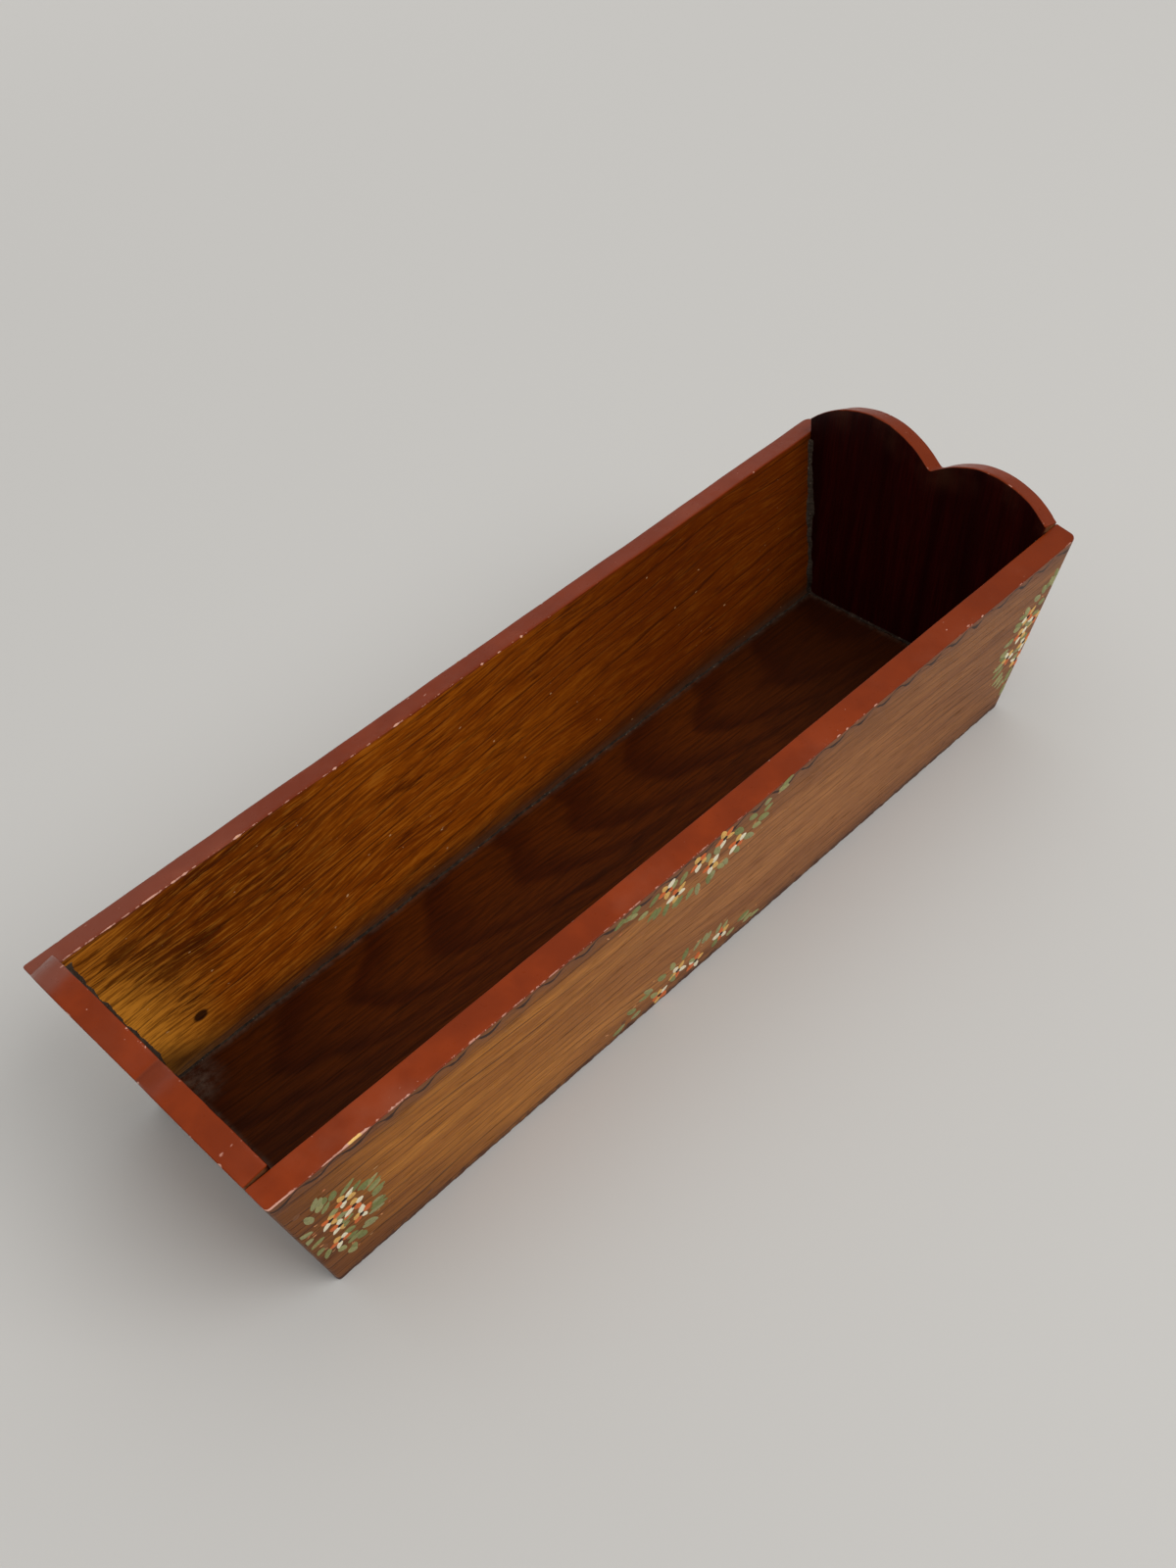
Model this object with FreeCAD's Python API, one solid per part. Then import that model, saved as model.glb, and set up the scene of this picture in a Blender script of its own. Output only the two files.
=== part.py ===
"""Open wooden box with splayed walls and double-humped end boards.

Millimetres, +Z up, +X along the box. The origin is at the middle of the box, on the surface it stands on.
The walls are butt jointed: the end boards stand between the sides, and the bottom is let in between all four.
Brads hold the joints. Their heads are set below the surface, under plugs of putty.
"""
import FreeCAD, Part
import math
import os

# Overall sizes, taken at the outer top edges of the side boards
box_length = 305.0
box_width = 104.0
side_height = 64.5
splay_angle = 9.4

# Boards
side_thickness = 7.7
end_thickness = 7.4
bottom_thickness = 7.6
bottom_recess = 3.8
glue_line = 0.1
corner_round = 2.5

# The two humps of an end board: crest and foot above the sides' rim, measured up the end's face
left_crest_rise = 11.4
left_foot_lift = 2.7
right_crest_rise = 9.2
right_foot_lift = 1.1

# Where the crests stand, as shares of the way from the middle to a side
left_crest_share = 0.485
right_crest_share = 0.517

# Brads that hold the boards, and the putty over their heads
brad_diameter = 1.25
brad_head_diameter = 2.0
brad_head_height = 0.7
brad_tip_diameter = 0.3
brad_tip_height = 1.6
corner_brad_length = 22.0
bottom_brad_length = 18.0
brad_set = 0.8
brad_clearance = 0.04

# Where the brads go, as shares of the board that they pass through
corner_brad_height_shares = (0.40, 0.80)
side_brad_length_shares = (-0.36, -0.12, 0.12, 0.36)
end_brad_width_shares = (-0.22, 0.22)

# Hardened glue in the inner corners, and how far up the sides it reaches
glue_radius = 1.2
glue_height_share = 0.96

# Cuts run past the faces that they open by this much
overrun = 5.0

splay = math.radians(splay_angle)
rim_height = side_height + side_thickness * math.sin(splay)
floor_height = bottom_recess + bottom_thickness
crown_height = rim_height + max(left_crest_rise, right_crest_rise) + end_thickness


def side_face(height, depth):
    """Distance from the middle plane to the plane that lies at a depth inside a side's outer face."""
    return box_width / 2 - (side_height - height) * math.tan(splay) - depth / math.cos(splay)


def end_face(height, depth):
    """Distance from the middle plane to the plane that lies at a depth inside an end's outer face."""
    return box_length / 2 - (side_height - height) * math.tan(splay) - depth / math.cos(splay)


def only_solid(shape):
    """The single solid of a shape that was cut or joined."""
    return shape.Solids[0]


def prism_along_x(section):
    """Bar along the box whose section is a list of places across and up."""
    points = [FreeCAD.Vector(-box_length, y, z) for y, z in section]
    return Part.Face(Part.makePolygon(points + points[:1])).extrude(FreeCAD.Vector(box_length * 2, 0, 0))


def prism_along_y(section):
    """Bar across the box whose section is a list of places along and up."""
    points = [FreeCAD.Vector(x, -box_width, z) for x, z in section]
    return Part.Face(Part.makePolygon(points + points[:1])).extrude(FreeCAD.Vector(0, box_width * 2, 0))


def between_sides(low, high, depth):
    """Everything between the two heights and between the planes at a depth inside the sides."""
    bottom = side_face(low, depth)
    top = side_face(high, depth)
    return prism_along_x(((-bottom, low), (bottom, low), (top, high), (-top, high)))


def between_ends(low, high, depth):
    """Everything between the two heights and between the planes at a depth inside the ends."""
    bottom = end_face(low, depth)
    top = end_face(high, depth)
    return prism_along_y(((-bottom, low), (bottom, low), (top, high), (-top, high)))


def hopper(low, high, side_depth, end_depth):
    """Solid between two heights, with its four sides parallel to the splayed walls."""
    return between_sides(low, high, side_depth).common(between_ends(low, high, end_depth))


def side_board(hand):
    """Side board before drilling: its top edge is square to its faces, its ends follow the end boards."""
    section = (
        (hand * side_face(0, 0), 0),
        (hand * side_face(side_height, 0), side_height),
        (hand * side_face(rim_height, side_thickness), rim_height),
        (hand * side_face(0, side_thickness), 0),
    )
    board = only_solid(prism_along_x(section).common(between_ends(0, crown_height, 0)))
    return board.makeFillet(corner_round, outer_corners(board, hand))


def outer_corners(board, hand):
    """The two upright edges where a side's outer face meets its ends."""
    corners = []
    for edge in board.Edges:
        heights = sorted(vertex.Point.z for vertex in edge.Vertexes)
        offset = hand * edge.CenterOfMass.y
        climbs = heights[1] - heights[0] > side_height / 2
        if climbs and offset > side_face(side_height / 2, side_thickness / 2):
            corners.append(edge)
    return corners


def hump(hand, crest_rise, foot_lift, crest_share):
    """One hump in the end board's plane: its circle, as centre across, centre up and radius, and its foot.

    The arc is level at its crest and meets the side at its foot, which fixes its radius.
    """
    foot_height = rim_height + foot_lift - end_thickness * math.sin(splay) / 2
    half = side_face(foot_height, side_thickness + glue_line)
    foot = foot_height / math.cos(splay)
    drop = crest_rise - foot_lift
    run = half * (1 - crest_share)
    radius = (run * run + drop * drop) / (drop + drop)
    return (hand * half * crest_share, foot + drop - radius, radius), (hand * half, foot)


def notch_between(left, right):
    """Upper crossing of the two humps' circles, across and up."""
    left_across, left_up, left_radius = left
    right_across, right_up, right_radius = right
    span = math.hypot(right_across - left_across, right_up - left_up)
    along = (right_across - left_across) / span
    climb = (right_up - left_up) / span
    reach = (left_radius**2 - right_radius**2 + span**2) / (span + span)
    rise = math.sqrt(left_radius**2 - reach**2)
    return left_across + along * reach + climb * rise, left_up + climb * reach - along * rise


def end_board(hand):
    """End board before drilling: a splayed slab between the sides, cut to the humps square to its faces."""
    section = (
        (hand * end_face(0, 0), 0),
        (hand * end_face(crown_height, 0), crown_height),
        (hand * end_face(crown_height, end_thickness), crown_height),
        (hand * end_face(0, end_thickness), 0),
    )
    slab = prism_along_y(section).common(between_sides(0, crown_height, side_thickness + glue_line))
    return slab.common(hump_cutter(hand))


def hump_cutter(hand):
    """Prism of the humped outline, square to the end board's faces."""
    left, left_foot = hump(1, left_crest_rise, left_foot_lift, left_crest_share)
    right, right_foot = hump(-1, right_crest_rise, right_foot_lift, right_crest_share)
    notch = notch_between(left, right)
    inward = FreeCAD.Vector(-hand * math.cos(splay), 0, math.sin(splay))
    upward = FreeCAD.Vector(hand * math.sin(splay), 0, math.cos(splay))
    start = FreeCAD.Vector(hand * end_face(0, 0), 0, 0) - inward * overrun

    def place(across, up):
        return start + FreeCAD.Vector(0, across, 0) + upward * up

    def crest(across, up, radius):
        return place(across, up + radius)

    wide = left_foot[0] + overrun
    edges = [
        Part.LineSegment(place(*right_foot), place(-wide, right_foot[1])),
        Part.LineSegment(place(-wide, right_foot[1]), place(-wide, -overrun)),
        Part.LineSegment(place(-wide, -overrun), place(wide, -overrun)),
        Part.LineSegment(place(wide, -overrun), place(wide, left_foot[1])),
        Part.LineSegment(place(wide, left_foot[1]), place(*left_foot)),
        Part.Arc(place(*left_foot), crest(*left), place(*notch)),
        Part.Arc(place(*notch), crest(*right), place(*right_foot)),
    ]
    outline = Part.Wire([edge.toShape() for edge in edges])
    return Part.Face(outline).extrude(inward * (end_thickness + overrun + overrun))


def bottom_blank():
    """Bottom board before drilling, with its edges bevelled to meet the splayed walls."""
    return hopper(bottom_recess, floor_height, side_thickness + glue_line, end_thickness + glue_line)


def corner_axes():
    """Corner brads: start on a side's outer face, direction square into it, and length."""
    axes = []
    for hand in (-1, 1):
        inward = FreeCAD.Vector(0, -hand * math.cos(splay), math.sin(splay))
        for far in (-1, 1):
            for share in corner_brad_height_shares:
                z = share * side_height
                x = far * end_face(z, end_thickness / 2)
                start = FreeCAD.Vector(x, hand * side_face(z, 0), z)
                axes.append((start, inward, corner_brad_length))
    return axes


def bottom_axes():
    """Bottom brads: start on the outer faces of sides and ends, square to them, into the bottom's edges."""
    reach = bottom_brad_length + brad_set
    z = bottom_recess + bottom_thickness / 2 - reach * math.sin(splay) / 2
    axes = []
    for hand in (-1, 1):
        inward = FreeCAD.Vector(0, -hand * math.cos(splay), math.sin(splay))
        for share in side_brad_length_shares:
            start = FreeCAD.Vector(share * box_length, hand * side_face(z, 0), z)
            axes.append((start, inward, bottom_brad_length))
        inward = FreeCAD.Vector(-hand * math.cos(splay), 0, math.sin(splay))
        for share in end_brad_width_shares:
            start = FreeCAD.Vector(hand * end_face(z, 0), share * box_width, z)
            axes.append((start, inward, bottom_brad_length))
    return axes


def brad(start, inward, length):
    """One brad: a flat head, a wire shank and a tapered tip, with its head set below the surface."""
    head_top = start + inward * brad_set
    shank_length = length - brad_tip_height
    head = Part.makeCylinder(brad_head_diameter / 2, brad_head_height, head_top, inward)
    shank = Part.makeCylinder(brad_diameter / 2, shank_length, head_top, inward)
    tip_start = head_top + inward * shank_length
    tip = Part.makeCone(brad_diameter / 2, brad_tip_diameter / 2, brad_tip_height, tip_start, inward)
    return head.fuse(shank).fuse(tip).removeSplitter()


def brad_hole(start, inward, length):
    """Room for one brad and its putty, open at the outer face."""
    head_radius = brad_head_diameter / 2 + brad_clearance
    shank_radius = brad_diameter / 2 + brad_clearance
    mouth = start - inward * overrun
    head_end = overrun + brad_set + brad_head_height + brad_clearance
    shank_end = overrun + brad_set + length + brad_clearance
    wide = Part.makeCylinder(head_radius, head_end, mouth, inward)
    narrow = Part.makeCylinder(shank_radius, shank_end, mouth, inward)
    return wide.fuse(narrow)


def putty_plug(start, inward, board):
    """Putty from a brad's head out to the board's own surface."""
    mouth = start - inward * overrun
    plug = Part.makeCylinder(brad_head_diameter / 2, overrun + brad_set, mouth, inward)
    return plug.common(board)


def drilled(board, axes):
    """Board with the holes of the brads that pass through it."""
    return board.cut(Part.makeCompound([brad_hole(*axis) for axis in axes]))


def inner_corners(height):
    """The four inner corners of the box at a height."""
    x = end_face(height, end_thickness)
    y = side_face(height, side_thickness)
    return [FreeCAD.Vector(cx, cy, height) for cx, cy in ((-x, -y), (x, -y), (x, y), (-x, y))]


def glue_run(first, second, inside):
    """Glue along one inner edge: a round run about the edge, kept to the inside of the box."""
    along = second - first
    run = Part.makeCylinder(glue_radius, along.Length, first, along)
    return run.common(inside)


def glue_fillet():
    """Hardened glue that was squeezed out along the floor joint and up the four inner corners."""
    glue_top = glue_height_share * side_height
    inside = hopper(floor_height, glue_top, side_thickness, end_thickness)
    lower = inner_corners(floor_height)
    upper = inner_corners(glue_top)
    runs = [glue_run(lower[i], lower[(i + 1) % len(lower)], inside) for i in range(len(lower))]
    runs += [glue_run(lower[i], upper[i], inside) for i in range(len(lower))]
    return runs[0].multiFuse(runs[1:]).removeSplitter()


corner_brad_axes = corner_axes()
bottom_brad_axes = bottom_axes()
all_axes = corner_brad_axes + bottom_brad_axes
blanks = {
    "left_side": side_board(1),
    "right_side": side_board(-1),
    "near_end": end_board(-1),
    "far_end": end_board(1),
    "bottom_board": bottom_blank(),
}
walls = Part.makeCompound([blanks[name] for name in ("left_side", "right_side", "near_end", "far_end")])

nodes = {name: only_solid(drilled(board, all_axes)) for name, board in blanks.items()}
nodes["corner_brads"] = Part.makeCompound([brad(*axis) for axis in corner_brad_axes])
nodes["bottom_brads"] = Part.makeCompound([brad(*axis) for axis in bottom_brad_axes])
nodes["corner_putty"] = Part.makeCompound(
    [only_solid(putty_plug(start, inward, walls)) for start, inward, length in corner_brad_axes]
)
nodes["bottom_putty"] = Part.makeCompound(
    [only_solid(putty_plug(start, inward, walls)) for start, inward, length in bottom_brad_axes]
)
nodes["glue_fillet"] = only_solid(glue_fillet())

os.makedirs("parts", exist_ok=True)
for name, shape in nodes.items():
    shape.exportStep(f"parts/{name}.step")
    state = "valid" if shape.isValid() else "INVALID"
    print(name, len(shape.Solids), "solids", round(shape.Volume, 2), "mm3", state)
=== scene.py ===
# %% [markdown]
# # An open painted box of thin boards
#
# The box has two long sides, two ends with a double hump, and a bottom that is let in between them. Its
# rims are painted red, its outsides are varnished, antiqued and dabbed with small flowers, and its inside
# is stained. The first cell loads the measured model, which sets the size. Each later step lays a
# finished surface over it.

import math

import bpy
import numpy as np
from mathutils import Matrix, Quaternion, Vector


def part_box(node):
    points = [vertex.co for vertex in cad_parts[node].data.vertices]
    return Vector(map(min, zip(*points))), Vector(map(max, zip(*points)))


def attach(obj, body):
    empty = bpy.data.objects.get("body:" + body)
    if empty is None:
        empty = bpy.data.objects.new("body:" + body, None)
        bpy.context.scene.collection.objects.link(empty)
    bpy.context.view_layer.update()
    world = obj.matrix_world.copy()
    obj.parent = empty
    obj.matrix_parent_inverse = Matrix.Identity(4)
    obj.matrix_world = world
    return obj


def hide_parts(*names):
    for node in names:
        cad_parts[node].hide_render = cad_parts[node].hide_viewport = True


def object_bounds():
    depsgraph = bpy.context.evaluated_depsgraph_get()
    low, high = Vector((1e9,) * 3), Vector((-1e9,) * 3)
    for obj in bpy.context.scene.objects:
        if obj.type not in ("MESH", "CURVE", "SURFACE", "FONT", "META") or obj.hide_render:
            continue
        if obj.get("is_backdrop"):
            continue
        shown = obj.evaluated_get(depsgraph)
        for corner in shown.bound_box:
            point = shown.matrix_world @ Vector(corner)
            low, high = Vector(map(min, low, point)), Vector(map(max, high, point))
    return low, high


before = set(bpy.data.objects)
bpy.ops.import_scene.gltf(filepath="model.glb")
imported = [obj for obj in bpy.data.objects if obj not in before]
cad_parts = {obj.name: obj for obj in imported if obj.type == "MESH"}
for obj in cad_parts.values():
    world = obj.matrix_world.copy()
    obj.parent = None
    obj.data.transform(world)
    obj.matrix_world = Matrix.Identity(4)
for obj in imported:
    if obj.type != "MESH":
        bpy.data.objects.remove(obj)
cad_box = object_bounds()
MM = 0.001
print("nodes:", sorted(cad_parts))

# %% [markdown]
# ## Sizes
#
# A node's box gives the outer sizes. Three things can't be read from a box: how far the walls lean out,
# how thick the boards are and how tight their joints. They are written here once, and the planes of all
# the faces follow from them.

# %% Sizes of the boards
SPLAY = math.radians(9.4)
LEAN_OUT, LEAN_UP = math.sin(SPLAY), math.cos(SPLAY)
SIDE_THICKNESS = 7.7 * MM
END_THICKNESS = 7.4 * MM
JOINT_GAP = 0.1 * MM
RIM_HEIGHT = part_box("right_side")[1][2]
SIDE_HEIGHT = RIM_HEIGHT - SIDE_THICKNESS * LEAN_OUT
HALF_WIDTH = -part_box("right_side")[0][1]
HALF_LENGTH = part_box("right_side")[1][0] - (RIM_HEIGHT - SIDE_HEIGHT) * math.tan(SPLAY)
FLOOR_UNDERSIDE, FLOOR_HEIGHT = (corner[2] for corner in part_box("bottom_board"))


def side_face(height, depth):
    """Distance from the middle plane to the plane that lies at a depth inside a side's outer face."""
    return HALF_WIDTH - (SIDE_HEIGHT - height) * math.tan(SPLAY) - depth / LEAN_UP


def end_face(height, depth):
    """Distance from the middle plane to the plane that lies at a depth inside an end's outer face."""
    return HALF_LENGTH - (SIDE_HEIGHT - height) * math.tan(SPLAY) - depth / LEAN_UP


sizes = {"rim": RIM_HEIGHT, "half width": HALF_WIDTH, "half length": HALF_LENGTH}
print({label: round(size / MM, 2) for label, size in sizes.items()}, "mm")

# %% [markdown]
# ## The camera
#
# The view looks down on the near corner from about the height of a person at a table. A camera could be
# turned by hand until the edges line up. Here its place, its target and a small roll are written as
# numbers, so that the edges of the boards land where they were seen. The vertical shift frames more of the
# space above the box without turning the camera upwards.

# %% Camera
CAMERA_PLACE = Vector((-0.1952, -0.2320, 0.3458))
CAMERA_TARGET = Vector((-0.0297, -0.0202, 0.0))
CAMERA_ROLL = 0.1495
camera_data = bpy.data.cameras.new("camera")
camera_data.sensor_width = 36.0
camera_data.lens = 34.12
camera_data.shift_y = 0.125
camera_data.clip_start = 0.01
camera = bpy.data.objects.new("camera", camera_data)
camera.location = CAMERA_PLACE
camera.rotation_mode = "QUATERNION"
look = (CAMERA_TARGET - CAMERA_PLACE).to_track_quat("-Z", "Y")
camera.rotation_quaternion = look @ Quaternion((0.0, 0.0, 1.0), -CAMERA_ROLL)
bpy.context.scene.collection.objects.link(camera)
bpy.context.scene.camera = camera
bpy.context.scene.view_settings.view_transform = "Standard"
print("camera at", tuple(round(value, 3) for value in camera.location))

# %% [markdown]
# ## Grids that become meshes
#
# Every piece below is a tube: a closed outline, worked out at many stations along a path. numpy gives all
# the points at once as an array, and this helper turns the array into faces: four neighbours make a quad,
# and the first and last outlines are closed by a cap. The faces could point inwards, so the enclosed volume
# is measured and a negative one turns them round.

# %% Tubes from arrays
SHARP_ANGLE = math.radians(32.0)


def tube_faces(count, rows, columns):
    """Quads between neighbouring stations of each tube, and one cap at each end of each tube."""
    index = np.arange(count * rows * columns).reshape(count, rows, columns)
    beside = np.roll(index, -1, axis=2)
    quads = np.stack((index[:, :-1], beside[:, :-1], beside[:, 1:], index[:, 1:]), axis=-1).reshape(-1, 4)
    return quads, np.concatenate((index[:, 0, ::-1], index[:, -1]))


def volume_of(points, quads):
    """Six times the signed volume that the quads enclose, from the sum of their corner triple products."""
    a, b, c, d = (points[quads[:, i]] for i in range(4))
    return np.einsum("ij,ij->", a, np.cross(b, c)) + np.einsum("ij,ij->", a, np.cross(c, d))


def add_layers(mesh, layers, uv):
    """Values for the finishes, one per point, and the flat map of the surface, one place per face corner."""
    for label, values in layers.items():
        colour = values.shape[-1] == 4
        layer = mesh.attributes.new(label, "FLOAT_COLOR" if colour else "FLOAT", "POINT")
        layer.data.foreach_set("color" if colour else "value", np.ravel(values).astype(np.float32))
    if uv is not None:
        corner = np.empty(len(mesh.loops), np.int32)
        mesh.loops.foreach_get("vertex_index", corner)
        flat_map = mesh.uv_layers.new(name="board")
        flat_map.data.foreach_set("uv", uv.reshape(-1, 2)[corner].astype(np.float32).ravel())


def tube_piece(name, points, replaced=(), layers=None, uv=None):
    """Piece made of tubes: points has the shape tubes, stations, places round the outline, 3."""
    quads, caps = tube_faces(*points.shape[:3])
    flat = points.reshape(-1, 3)
    if volume_of(flat, quads) < 0:
        quads, caps = quads[:, ::-1], caps[:, ::-1]
    mesh = bpy.data.meshes.new(name)
    mesh.from_pydata(flat.tolist(), [], quads.tolist() + caps.tolist())
    add_layers(mesh, layers or {}, uv)
    mesh.shade_smooth()
    mesh.set_sharp_from_angle(angle=SHARP_ANGLE)
    piece = bpy.data.objects.new(name, mesh)
    bpy.context.scene.collection.objects.link(piece)
    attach(piece, "root")
    if replaced:
        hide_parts(*replaced)
    spans = [round(span / MM, 1) for span in np.ptp(flat, axis=0)]
    print(f"{name}: {len(mesh.polygons)} faces, spans {spans} mm")
    return piece


# %% [markdown]
# ## Edges that years have rounded
#
# No edge of an old box is sharp or straight. A long slow wander bends an edge by a tenth of a millimetre,
# and chips bite into it here and there. Both are formulas with a seed, so the box is the same each time:
# the wander is a sum of sines with drawn phases, and the chips are short bumps at drawn places.

# %% Wander and chips
OCTAVE_STEP, OCTAVE_FALL, WANDER_PEAK = 1.83, 1.35, 1.9


def wander(place, seed, wavelength, octaves=4):
    """Sum of sines of falling wavelength with seeded phases, from about -1 to 1."""
    draw = np.random.default_rng(seed)
    step = np.arange(octaves).reshape((-1,) + (1,) * np.ndim(place))
    phase = draw.uniform(0.0, 2 * math.pi, step.shape)
    waves = np.sin(place * (2 * math.pi / wavelength) * OCTAVE_STEP**step + phase)
    return (waves / OCTAVE_FALL**step).sum(axis=0) / WANDER_PEAK


def chips(place, seed, plans):
    """Depth from 0 to 1 of the deepest chip at each place: parabolas at seeded centres, lengths and depths.

    A plan is how many chips, the stretch that they fall in and their usual half length.
    """
    draw = np.random.default_rng(seed)
    deepest = np.zeros_like(place)
    for count, (start, stop), length in plans:
        centre = draw.uniform(start, stop, count)
        half = length * draw.lognormal(0.0, 0.7, count)
        bite = (1.0 - ((place[:, None] - centre) / half) ** 2) * draw.uniform(0.3, 1.0, count)
        deepest = np.maximum(deepest, bite.max(axis=1))
    return deepest


print("a wander over 10 mm:", np.round(wander(np.linspace(0.0, 10 * MM, 4), 1, 8 * MM), 2))

# %% [markdown]
# ## The outline of a board
#
# A board's section has four faces. Going round it, we climb the outer face, cross the rim, go down the
# inner face and come back along the underside. Each corner is an arc about a centre that lies one radius
# inside both faces. The radii may differ from station to station, and that is how a chip becomes a real
# hollow in the mesh rather than a picture of one.

# %% Rounded section
WALL_NORMALS = np.array(((-1.0, 0.0), (0.0, 1.0), (1.0, 0.0), (-LEAN_OUT, -LEAN_UP)))
ARC_POINTS = 6


def heading(turn):
    """Direction of length one at each turn: its cosine and its sine."""
    return np.stack((np.cos(turn), np.sin(turn)), axis=-1)


def corner_arc(corners, radii, before, after):
    """Arc of one corner at every station: corner + radius * (turned normal - (n1 + n2) / (1 + n1.n2)).

    The normal turns evenly from the face before the corner to the face after it.
    """
    start = math.atan2(before[1], before[0])
    turn = (math.atan2(after[1], after[0]) - start + math.pi) % (2 * math.pi) - math.pi
    swing = start + turn * np.linspace(0.0, 1.0, ARC_POINTS)
    normal = heading(swing)
    offset = normal - (before + after) / (1.0 + before @ after)
    return corners[:, None] + radii[:, None, None] * offset, normal


def rounded_section(corners, radii, face_counts, face_normals):
    """Outline of a section at every station, its outward normals, and where each corner's arc begins.

    corners has the shape stations, 4, 2 and radii stations, 4. A face's points lie evenly between its arcs.
    """
    arcs = [corner_arc(corners[:, i], radii[:, i], face_normals[i - 1], face_normals[i]) for i in range(4)]
    outline, normals, starts = [], [], []
    for i, count in enumerate(face_counts):
        arc, normal = arcs[i]
        share = np.linspace(0.0, 1.0, count + 2)[1:-1, None]
        first, last = arc[:, -1:], arcs[(i + 1) % 4][0][:, :1]
        starts.append(sum(part.shape[1] for part in outline))
        outline += [arc, first + (last - first) * share]
        normals += [normal, np.repeat(face_normals[i][None], count, axis=0)]
    return np.concatenate(outline, axis=1), np.concatenate(normals), starts


def section_corners(outer_top, inner_top, thickness):
    """Corners of a leaning board as depth inwards and distance up the face. Its underside lies level."""
    zero = np.zeros_like(outer_top)
    low = zero - thickness * math.tan(SPLAY)
    pairs = ((zero, zero), (zero, outer_top), (zero + thickness, inner_top), (zero + thickness, low))
    return np.stack([np.stack(pair, axis=-1) for pair in pairs], axis=1)


print("normals of a wall's faces:", np.round(WALL_NORMALS, 3).tolist())

# %% [markdown]
# ## Stations along a board
#
# Most stations are evenly spaced. At each end a few more follow a quarter circle, which rounds the upright
# corner, and a last few draw the outline in towards its middle line, which closes the end as a flat face of
# quads. Written as arrays, a station is a share of the board's length, a reach into the rounded corner and
# an amount of drawing in.

# %% Stations
CAP_INSET = 0.48


def board_stations(count, corner_steps=5, cap_steps=3):
    """Share along the board, reach into the end's rounding, both from -1 to 1, and drawing in from 0 to 1."""
    swing = np.sin(np.linspace(0.0, math.pi / 2, corner_steps + 1))[1:]
    draw_in = np.linspace(0.0, 1.0, cap_steps + 1)[1:]
    extra = corner_steps + cap_steps
    share = np.concatenate((-np.ones(extra), np.linspace(-1.0, 1.0, count), np.ones(extra)))
    end_reach = np.concatenate((swing, np.ones(cap_steps)))
    reach = np.concatenate((-end_reach[::-1], np.zeros(count), end_reach))
    end_inset = np.concatenate((np.zeros(corner_steps), draw_in))
    return share, reach, np.concatenate((end_inset[::-1], np.zeros(count), end_inset))


def quarter_bite(radius, gap):
    """Bite of a quarter circle at a gap from the end: radius - sqrt(radius^2 - (radius - gap)^2)."""
    inside = np.clip(radius - gap, 0.0, None)
    return radius - np.sqrt(radius**2 - inside**2)


def ease_ends(section, normals, gap, inset, thickness, ease):
    """Section drawn in near the ends: every edge by a small quarter circle, then all of it to the cap."""
    drawn = section - quarter_bite(ease, gap)[:, None, None] * normals
    low, high = drawn.min(axis=1, keepdims=True), drawn.max(axis=1, keepdims=True)
    middle, half = (low + high) / 2, (high - low) / 2
    return middle + (drawn - middle) * (1.0 - CAP_INSET * thickness * inset[:, None, None] / half)


print("stations for 9 even places:", len(board_stations(9)[0]))

# %% [markdown]
# ## A board from a section and its stations
#
# Both the sides and the ends are the same kind of board, so one function makes them. It also keeps what a
# finish has to know at each point: how far the point lies past the rim's border, whether it faces inwards,
# how far it is along the rim, how close to the edges, how deep in a chip and how much rubbed. A finish
# could guess these from the coordinates, but a board that knows them can be painted exactly.

# %% One board
ARRIS = 0.35 * MM
CHIP_DEPTH = 0.4 * MM
FOOT_ARRIS, FOOT_WAVE = 0.6 * MM, 9 * MM
INNER_FOOT_ARRIS = 0.15 * MM
RIM_POINTS = 7
UNDER_POINTS = 3


def board_map(section, along, top, thickness, shift, upright):
    """Flat map of a board in metres: along it, and round it from the outer lower edge over the rim."""
    depth, up = section[..., 0], section[..., 1]
    round_it = np.where(depth > 0.5 * thickness, 2 * top + thickness - up, up)
    pair = (round_it, along + shift) if upright else (along + shift, round_it)
    return np.stack(pair, axis=-1)


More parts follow.
